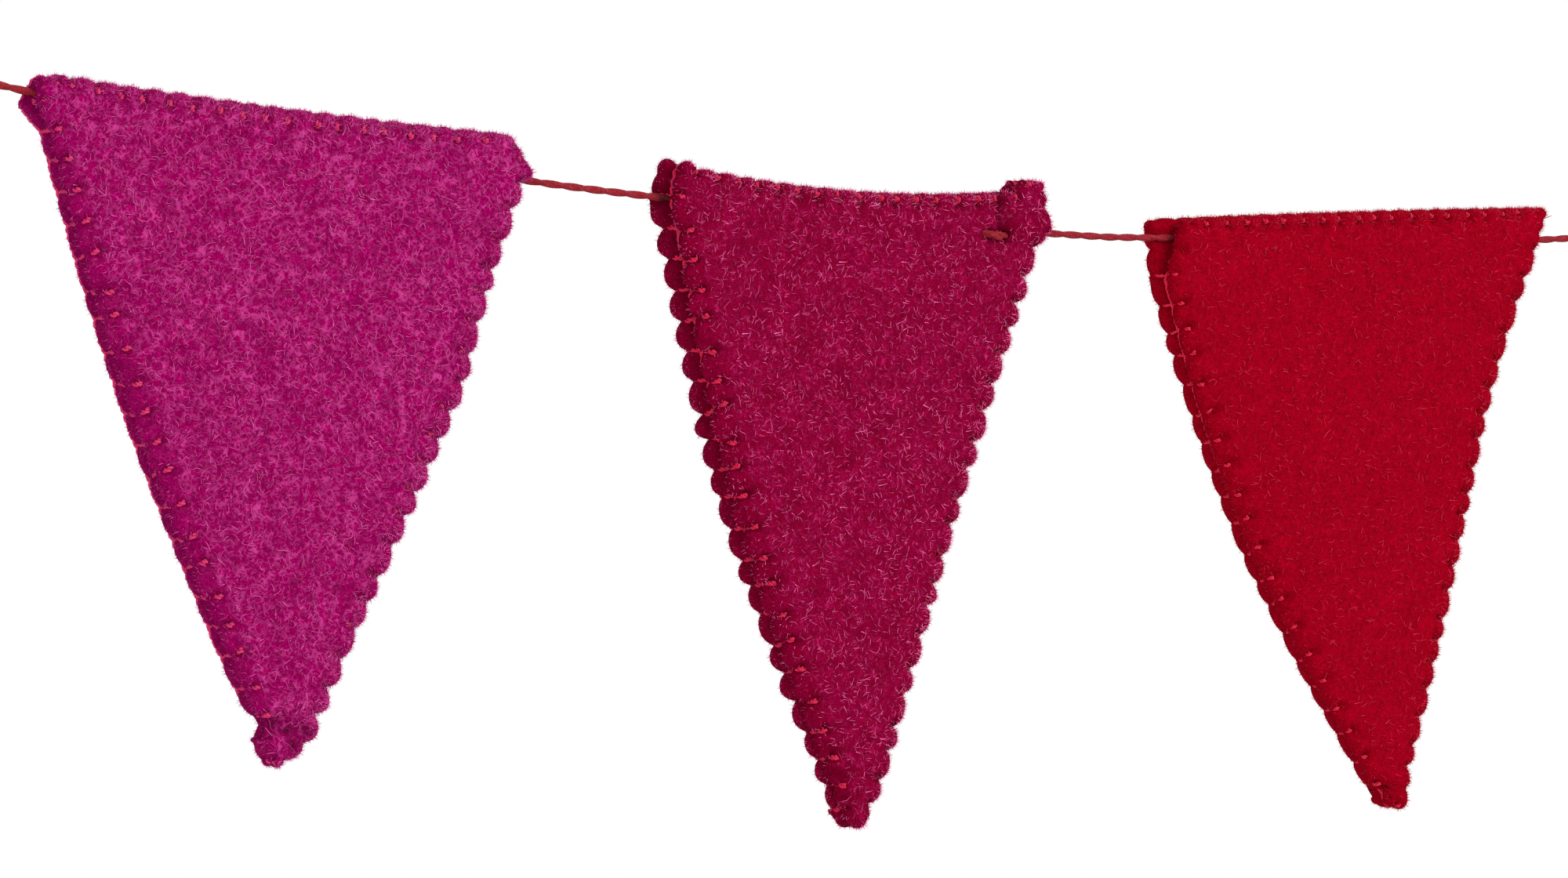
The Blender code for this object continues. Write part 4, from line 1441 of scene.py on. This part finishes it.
def map_node(tree, value, low, high, to_low=0.0, to_high=1.0):
    """A smooth step from low to high."""
    node = tree.nodes.new("ShaderNodeMapRange")
    node.interpolation_type = "SMOOTHSTEP"
    names = ("Value", "From Min", "From Max", "To Min", "To Max")
    for name, given in zip(names, (value, low, high, to_low, to_high)):
        feed(tree, node.inputs[name], given)
    return node.outputs["Result"]


def mix_node(tree, factor, first, second):
    """A mix of two colours."""
    node = tree.nodes.new("ShaderNodeMix")
    node.data_type = "RGBA"
    for index, value in ((0, factor), (6, first), (7, second)):
        feed(tree, node.inputs[index], value)
    return node.outputs[2]


def wool_web_group():
    """Fine curved fibres that cross each other, as a mask, and the grain between them."""
    group, start, finish = new_group(
        "wool_web",
        (
            ("Vector", "NodeSocketVector", None), ("Scale", "NodeSocketFloat", 1.0),
            ("Width", "NodeSocketFloat", 0.04), ("Seed", "NodeSocketFloat", 0.0),
        ),
        (("Web", "NodeSocketFloat"), ("Fine", "NodeSocketFloat")),
    )
    vector, scale, width, seed = (start.outputs[n] for n in ("Vector", "Scale", "Width", "Seed"))
    web = None
    for index, share in enumerate(WEB_SCALES):
        offset = math_node(group, "ADD", seed, WEB_SEED_STEP * index)
        size = math_node(group, "MULTIPLY", scale, share)
        field = noise_node(group, vector, size, 1.0, offset)
        line = math_node(group, "ABSOLUTE", math_node(group, "SUBTRACT", field, 0.5))
        line = map_node(group, line, 0.0, width, 1.0, 0.0)
        size = math_node(group, "MULTIPLY", size, BREAK_SCALE)
        gaps = map_node(group, noise_node(group, vector, size, 0.0, offset), *WEB_BREAKS)
        strand = math_node(group, "MULTIPLY", line, gaps)
        web = strand if web is None else math_node(group, "MAXIMUM", web, strand)
    size = math_node(group, "MULTIPLY", scale, FINE_SCALE)
    group.links.new(web, finish.inputs["Web"])
    group.links.new(noise_node(group, vector, size, 2.0, seed, 0.7), finish.inputs["Fine"])
    return group


def wool_clouds_group():
    """Soft uneven patches where the wool lies thicker or thinner."""
    group, start, finish = new_group(
        "wool_clouds",
        (
            ("Vector", "NodeSocketVector", None), ("Scale", "NodeSocketFloat", 0.2),
            ("Seed", "NodeSocketFloat", 0.0),
        ),
        (("Clouds", "NodeSocketFloat"),),
    )
    vector, scale, seed = (start.outputs[name] for name in ("Vector", "Scale", "Seed"))
    field = noise_node(group, vector, scale, 3.0, seed, 0.6)
    group.links.new(map_node(group, field, 0.3, 0.7), finish.inputs["Clouds"])
    return group


def millimetres(tree):
    """The place on the object in millimetres."""
    spot = tree.nodes.new("ShaderNodeTexCoord")
    scaled = tree.nodes.new("ShaderNodeVectorMath")
    scaled.operation = "SCALE"
    scaled.inputs["Scale"].default_value = 1.0 / MM
    tree.links.new(spot.outputs["Object"], scaled.inputs[0])
    return scaled.outputs[0]


def attribute(tree, name):
    """A number kept on the mesh."""
    node = tree.nodes.new("ShaderNodeAttribute")
    node.attribute_name = name
    return node.outputs["Fac"]


def placed(tree, group, **values):
    """What a group puts out in a material, where it is given these values."""
    node = tree.nodes.new("ShaderNodeGroup")
    node.node_tree = group
    for name, value in values.items():
        feed(tree, node.inputs[name], value)
    return node.outputs


def patches(tree, groups, scale, seed):
    """Where the wool lies thick or thin."""
    spot = millimetres(tree)
    return placed(tree, groups["clouds"], Vector=spot, Scale=scale, Seed=seed)["Clouds"]


def new_material(name, roughness, gloss):
    """A material with its main shader."""
    finish = bpy.data.materials.new(name)
    finish.use_nodes = True
    shader = finish.node_tree.nodes["Principled BSDF"]
    shader.inputs["Roughness"].default_value = roughness
    shader.inputs["Specular IOR Level"].default_value = gloss
    return finish, finish.node_tree, shader


def paint_hollow_shade(finish):
    """Paints shade into a material's colour where the mesh says it lies in a hollow."""
    tree = finish.node_tree
    shader = tree.nodes["Principled BSDF"]
    plain = shader.inputs["Base Color"].links[0].from_socket
    dark = math_node(tree, "MULTIPLY", attribute(tree, "hollow"), STRING_HOLLOW_SHADE)
    tree.links.new(mix_node(tree, dark, plain, STRING_HOLLOW_SHADE_COLOUR), shader.inputs["Base Color"])


def bump(tree, shader, height, distance):
    """Fine relief on a shader."""
    node = tree.nodes.new("ShaderNodeBump")
    node.inputs["Distance"].default_value = distance
    tree.links.new(height, node.inputs["Height"])
    tree.links.new(node.outputs[0], shader.inputs["Normal"])


def felt_material(number, groups, roughness):
    """Pressed wool: a deep ground, darker between the fibres, with paler fibres on top."""
    look = FELT_LOOKS[number]
    finish, tree, shader = new_material(look.slot + "_wool", roughness, FELT_GLOSS)
    web = placed(
        tree, groups["web"], Vector=millimetres(tree), Scale=look.web_scale,
        Width=look.web_width, Seed=number,
    )
    scale, seed, share = LARGE_PATCHES
    thick = math_node(tree, "MULTIPLY", patches(tree, groups, scale, seed + number), share)
    scale, seed, share = SMALL_PATCHES
    small = patches(tree, groups, scale, seed + number)
    thick = math_node(tree, "MULTIPLY_ADD", small, share, thick)
    ground = math_node(tree, "MULTIPLY_ADD", thick, 1.0 - LEAST_GRAIN, LEAST_GRAIN)
    ground = math_node(tree, "MULTIPLY", map_node(tree, web["Fine"], *FELT_GRAIN), ground)
    colour = mix_node(tree, ground, look.deep, look.ground)
    cover = math_node(tree, "MULTIPLY_ADD", thick, 1.0 - LEAST_COVER, LEAST_COVER)
    # The nap weight also carries the painted shade of the band along sides that face left.
    nap_and_painted_shade = math_node(tree, "MINIMUM", attribute(tree, "nap"), 1.0)
    cover = math_node(tree, "MULTIPLY", cover, nap_and_painted_shade)
    cover = math_node(tree, "MULTIPLY", cover, look.web_share)
    cover = math_node(tree, "MULTIPLY", web["Web"], cover)
    colour = mix_node(tree, cover, colour, look.fibre)
    hollow = math_node(tree, "MULTIPLY", math_node(tree, "SUBTRACT", 1.0, small), PATCH_SHADE)
    colour = mix_node(tree, hollow, colour, look.deep)
    # Painted shade: darker towards the deep colour where the open value says light is shut out.
    shut = math_node(tree, "SUBTRACT", 1.0, attribute(tree, "open"))
    shut = math_node(tree, "MULTIPLY", shut, SHUT_COLOUR)
    tree.links.new(mix_node(tree, shut, colour, look.deep), shader.inputs["Base Color"])
    relief_height = math_node(tree, "MULTIPLY_ADD", web["Fine"], FINE_RELIEF, web["Web"])
    bump(tree, shader, relief_height, FELT_RELIEF)
    return finish


def nap_material(number, groups):
    """Loose wool fibres, some deep and some pale."""
    look = FELT_LOOKS[number]
    finish, tree, shader = new_material(look.slot + "_nap", NAP_ROUGHNESS, NAP_GLOSS)
    scale, seed = NAP_PATCHES
    gain = math_node(tree, "MULTIPLY_ADD", patches(tree, groups, scale, seed + number), *PATCH_GAIN)
    shade = map_node(tree, attribute(tree, "shade"), *PALE_RANGE)
    shade = math_node(tree, "MULTIPLY", shade, gain)
    colour = mix_node(tree, shade, look.ground, look.pale)
    # Painted shade: the fibres darken towards the deep colour where the felt under them lies shut
    # from the light.
    shut = map_node(tree, attribute(tree, "open"), *NAP_SHUT)
    tree.links.new(mix_node(tree, shut, colour, look.deep), shader.inputs["Base Color"])
    return finish


def yarn_material(name, colour, groups, looks):
    """Twisted yarn with a soft gloss and fine streaks."""
    roughness, gloss, scale = looks
    finish, tree, shader = new_material(name, roughness, gloss)
    web = placed(
        tree, groups["web"], Vector=millimetres(tree), Scale=scale, Width=YARN_WEB_WIDTH,
        Seed=YARN_SEED,
    )
    gain, lift = YARN_PALE
    deep = tuple(value * YARN_DEEP for value in colour)
    pale = tuple(min(1.0, value * gain + lift) for value in colour)
    base = mix_node(tree, map_node(tree, web["Fine"], *YARN_GRAIN), deep, tuple(colour))
    streaks = math_node(tree, "MULTIPLY", web["Web"], YARN_WEB_SHARE)
    tree.links.new(mix_node(tree, streaks, base, pale), shader.inputs["Base Color"])
    bump(tree, shader, web["Web"], YARN_RELIEF)
    return finish


# ------------------------------------------------------------------------- operators

# What the operators hand on to each other.
shared = {}

# The camera's place, its direction, the width of its sensor in millimetres, and how near and
# how far it sees in metres.
CAMERA_PLACE = (-0.3840, -0.8998, -0.0602)
CAMERA_AIM = (0.5250, 0.8511, 0.0)
SENSOR_WIDTH = 36.0
CAMERA_SEES = (0.05, 30.0)

# The middle of the bunting, at which the lights point, each light's place and size, and the
# floor's radius, its roughness and gloss, and its colour.
MIDDLE = Vector((0.17, 0.0, -0.06))
LAMPS = {
    "key": (Vector((0.95, -0.85, 0.75)), 0.9),
    "fill": (Vector((-0.9, -0.9, 0.1)), 1.2),
    "rim": (Vector((0.9, 1.1, 0.7)), 1.0),
}
FLOOR_RADIUS = 3.5
FLOOR_LOOKS = (0.8, 0.2)
FLOOR_COLOUR = (0.86, 0.86, 0.86, 1.0)
WHITE = (1.0, 1.0, 1.0, 1.0)


class BUNTING_OT_stage(Operator):
    """Sets up the camera, the lights and the floor"""

    bl_idname = "bunting.stage"
    bl_label = "Stage"

    def execute(self, context):
        settings = context.scene.bunting_stage
        lens = bpy.data.cameras.new("camera")
        lens.lens = settings.lens
        lens.sensor_width = SENSOR_WIDTH
        lens.clip_start, lens.clip_end = CAMERA_SEES
        camera = bpy.data.objects.new("camera", lens)
        camera.location = CAMERA_PLACE
        camera.rotation_mode = "QUATERNION"
        camera.rotation_quaternion = Vector(CAMERA_AIM).to_track_quat("-Z", "Y")
        context.scene.collection.objects.link(camera)
        context.scene.camera = camera
        for name, (where, size) in LAMPS.items():
            lamp = bpy.data.lights.new(name, "AREA")
            lamp.size = size
            lamp.energy = getattr(settings, name)
            light = bpy.data.objects.new(name, lamp)
            light.location = where
            light.rotation_mode = "QUATERNION"
            light.rotation_quaternion = (MIDDLE - where).to_track_quat("-Z", "Y")
            context.scene.collection.objects.link(light)
        self.floor(context, settings)
        self.sky(context, settings)
        context.scene.view_settings.view_transform = "Standard"
        return {"FINISHED"}

    def floor(self, context, settings):
        """A plain pale floor far below."""
        shape = bmesh.new()
        bmesh.ops.create_circle(shape, cap_ends=True, radius=FLOOR_RADIUS, segments=96)
        drop = Vector((MIDDLE.x, MIDDLE.y, -settings.floor_drop))
        bmesh.ops.translate(shape, verts=shape.verts, vec=drop)
        mesh = mesh_from("floor", shape)
        finish, _, shader = new_material("pale_floor", *FLOOR_LOOKS)
        shader.inputs["Base Color"].default_value = FLOOR_COLOUR
        mesh.materials.append(finish)
        floor = bpy.data.objects.new("floor", mesh)
        context.scene.collection.objects.link(floor)

    def sky(self, context, settings):
        """Even light all round, with white behind the object."""
        world = context.scene.world or bpy.data.worlds.new("sky")
        context.scene.world = world
        world.use_nodes = True
        tree = world.node_tree
        tree.nodes.clear()
        even, white = (tree.nodes.new("ShaderNodeBackground") for _ in range(2))
        for light, strength in ((even, settings.sky), (white, 1.0)):
            light.inputs["Color"].default_value = WHITE
            light.inputs["Strength"].default_value = strength
        rays = tree.nodes.new("ShaderNodeLightPath")
        mix = tree.nodes.new("ShaderNodeMixShader")
        finish = tree.nodes.new("ShaderNodeOutputWorld")
        tree.links.new(rays.outputs["Is Camera Ray"], mix.inputs[0])
        tree.links.new(even.outputs[0], mix.inputs[1])
        tree.links.new(white.outputs[0], mix.inputs[2])
        tree.links.new(mix.outputs[0], finish.inputs["Surface"])


class BUNTING_OT_string(Operator):
    """Twists the string along its route and ties a loop at each end"""

    bl_idname = "bunting.string"
    bl_label = "String and loops"

    def execute(self, context):
        settings = context.scene.bunting_string
        shared["groups"] = {"web": wool_web_group(), "clouds": wool_clouds_group()}
        yarn = yarn_material("string_yarn", settings.colour, shared["groups"], STRING_YARN)
        # Painted shade on the string where it lies in the hollows.
        paint_hollow_shade(yarn)
        points = [string_place(row) for row in STRING_ROUTE]
        path = smooth_route(smooth_route(points, STRING_STEP), PLY_STEP)
        loose = string_place(SURFACE_STITCH)
        into_knots = [path[0] - (path[1] - path[0]) * INTO_KNOT] + path
        into_knots.append(path[-1] + (path[-1] - path[-2]) * INTO_KNOT)
        plies = twisted(into_knots, settings.ply_offset, settings.twist, 0.0, loose)
        mesh = tubes("string", plies, settings.ply_radius, 2)
        shade_hollows(mesh)
        string = add_piece("string_twisted", mesh, yarn)
        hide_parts("string")
        ends = (("loop_left", points[0], points[1]), ("loop_right", points[-1], points[-2]))
        for name, end, before in ends:
            mesh = self.loop(name, end, (end - before).normalized(), settings)
            loop = add_piece(name + "_tied", mesh, yarn)
            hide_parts(name)
        shared["channel"] = smooth_route(points, STRING_STEP)
        return {"FINISHED"}

    def loop(self, name, end, run, settings):
        """A loop with its knot and a cut tail, of the same twisted string."""
        lift = run.cross(Vector((0, 1, 0))).normalized()
        knot = end + run * LOOP_GAP
        route = []
        for row in LOOP_ROUTE:
            off = run * row.along + lift * row.across + Vector((0, row.side, 0))
            route.append(knot + off * MM)
        route = smooth_route(smooth_route(route, LOOP_STEP), LOOP_PLY_STEP)
        plies = list(twisted(route, settings.ply_offset, settings.twist))
        for along, tilt in WRAPS:
            centre = knot + run * along
            axis = (run + lift * tilt).normalized()
            first = axis.cross(Vector((0, 1, 0))).normalized()
            second = axis.cross(first)
            circle = []
            for step in range(WRAP_STEPS + WRAP_OVERLAP + 1):
                angle = math.tau * (step / WRAP_STEPS + WRAP_START[name])
                arm = first * math.cos(angle) + second * math.sin(angle)
                circle.append(centre + arm * (WRAP_RING - WRAP_END * (step > WRAP_STEPS)))
            plies += twisted(circle, settings.ply_offset, settings.twist * WRAP_LAY)
        return tubes(name, plies, settings.ply_radius, 2)


class BUNTING_OT_felt(Operator):
    """Cuts the six felt layers, rounds their lobed edges and hangs them"""

    bl_idname = "bunting.felt"
    bl_label = "Felt layers"

    def execute(self, context):
        settings = context.scene.bunting_felt
        path = shared["channel"]
        longer = [path[0] * 2 - path[1]] + path + [path[-1] * 2 - path[-2]]
        channel = tubes("channel", [longer], CHANNEL_RADIUS, 2)
        shared["layers"] = []
        for number, pennant in enumerate(PENNANTS):
            wool = felt_material(number, shared["groups"], settings.roughness)
            for front in (True, False):
                node = pennant.name + ("_front" if front else "_back")
                samples = layer_samples(number, front)
                whole = felt_mesh(number, front, samples, settings)
                opened = cut_channel(whole, channel)
                felt = add_piece(node + "_felt", opened, wool)
                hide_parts(node)
                shared["layers"].append((number, front, node, whole, felt, flat_size(samples)))
        return {"FINISHED"}


class BUNTING_OT_stitches(Operator):
    """Sews the blanket stitch round each pennant"""

    bl_idname = "bunting.stitches"
    bl_label = "Blanket stitch"

    def execute(self, context):
        settings = context.scene.bunting_stitches
        shared["stitches"] = []
        for number, pennant in enumerate(PENNANTS):
            look = THREAD_LOOKS[number]
            name = pennant.name + "_thread"
            thread = yarn_material(name, look.colour, shared["groups"], THREAD_YARN)
            radius = settings.ply_radius * look.ply
            mesh = tubes("thread", stitch_routes(number, settings), radius, 0)
            piece = add_piece(pennant.name + "_blanket_stitch", mesh, thread)
            shared["stitches"].append(piece)
        return {"FINISHED"}


class BUNTING_OT_nap(Operator):
    """Grows loose fibres and short hairs on the felt, and long loose hairs on the fronts"""

    bl_idname = "bunting.nap"
    bl_label = "Nap"

    def execute(self, context):
        settings = context.scene.bunting_nap
        bundles = [self.bundle(look, settings) for look in FELT_LOOKS]
        short = bpy.data.collections.new("short")
        for index in range(settings.shapes):
            mesh = fuzz_mesh(index)
            short.objects.link(bpy.data.objects.new(mesh.name, mesh))
        tree = nap_tree()
        wools = [nap_material(number, shared["groups"]) for number in range(len(PENNANTS))]
        for order, (number, front, node, whole, felt, size) in enumerate(shared["layers"]):
            look = FELT_LOOKS[number]
            density = (look.nap_front if front else look.nap_back) * settings.density
            seed = settings.seed + 10 * order
            mesh = nap_mesh(whole, tree, bundles[number], "nap", density, seed)
            nap = add_piece(node + "_nap", mesh, wools[number])
            density = settings.fuzz * (1.0 if front else BACK_FUZZ)
            mesh = nap_mesh(whole, tree, short, "fuzz", density, seed + 5)
            fuzz = add_piece(node + "_fuzz", mesh, wools[number])
            pieces = [nap, fuzz]
            if front:
                pieces.append(shared["stitches"][number])
                pieces += self.hairs(number, wools[number])
        for bundle in (*bundles, short):
            for fibre in list(bundle.objects):
                bpy.data.objects.remove(fibre)
            bpy.data.collections.remove(bundle)
        return {"FINISHED"}

    def bundle(self, look, settings):
        """The differently curved fibres of one felt."""
        bundle = bpy.data.collections.new("fibres")
        for index in range(settings.shapes):
            mesh = fibre_mesh(index, look.length * MM, look.radius * settings.thickness * MM)
            bundle.objects.link(bpy.data.objects.new(mesh.name, mesh))
        return bundle

    def hairs(self, number, wool):
        """The long loose hairs of one pennant, if it has any."""
        routes = hair_routes(number)
        if not routes:
            return []
        name = PENNANTS[number].name + "_hairs"
        mesh = tubes(name, routes, HAIR_RADIUS, 0)
        tint = mesh.attributes.new("shade", "FLOAT", "POINT")
        tint.data.foreach_set("value", [1.0] * len(tint.data))
        return [add_piece(name, mesh, wool)]


class BUNTING_PT_panel(Panel):
    """Lists the steps that build the bunting"""

    bl_idname = "BUNTING_PT_panel"
    bl_label = "Felt bunting"
    bl_space_type = "VIEW_3D"
    bl_region_type = "UI"
    bl_category = "Bunting"

    def draw(self, context):
        for name, (_, operators) in STEPS.items():
            box = self.layout.box()
            settings = getattr(context.scene, name)
            for field in settings.__annotations__:
                box.prop(settings, field)
            for operator in operators:
                box.operator(operator.bl_idname)


# Each group of settings, by its name on the scene, with the operators that use it.
STEPS = {
    "bunting_stage": (StageSettings, (BUNTING_OT_stage,)),
    "bunting_string": (StringSettings, (BUNTING_OT_string,)),
    "bunting_felt": (FeltSettings, (BUNTING_OT_felt,)),
    "bunting_stitches": (StitchSettings, (BUNTING_OT_stitches,)),
    "bunting_nap": (NapSettings, (BUNTING_OT_nap,)),
}


def register():
    """Makes the settings, the operators and the panel known."""
    for name, (settings, operators) in STEPS.items():
        bpy.utils.register_class(settings)
        setattr(bpy.types.Scene, name, PointerProperty(type=settings))
        for operator in operators:
            bpy.utils.register_class(operator)
    bpy.utils.register_class(BUNTING_PT_panel)


def unregister():
    """Takes them away again."""
    bpy.utils.unregister_class(BUNTING_PT_panel)
    for name, (settings, operators) in reversed(list(STEPS.items())):
        for operator in operators:
            bpy.utils.unregister_class(operator)
        delattr(bpy.types.Scene, name)
        bpy.utils.unregister_class(settings)


def main():
    """Builds the bunting."""
    register()
    bpy.ops.bunting.stage()
    bpy.ops.bunting.string()
    bpy.ops.bunting.felt()
    bpy.ops.bunting.stitches()
    bpy.ops.bunting.nap()


if __name__ == "__main__":
    main()
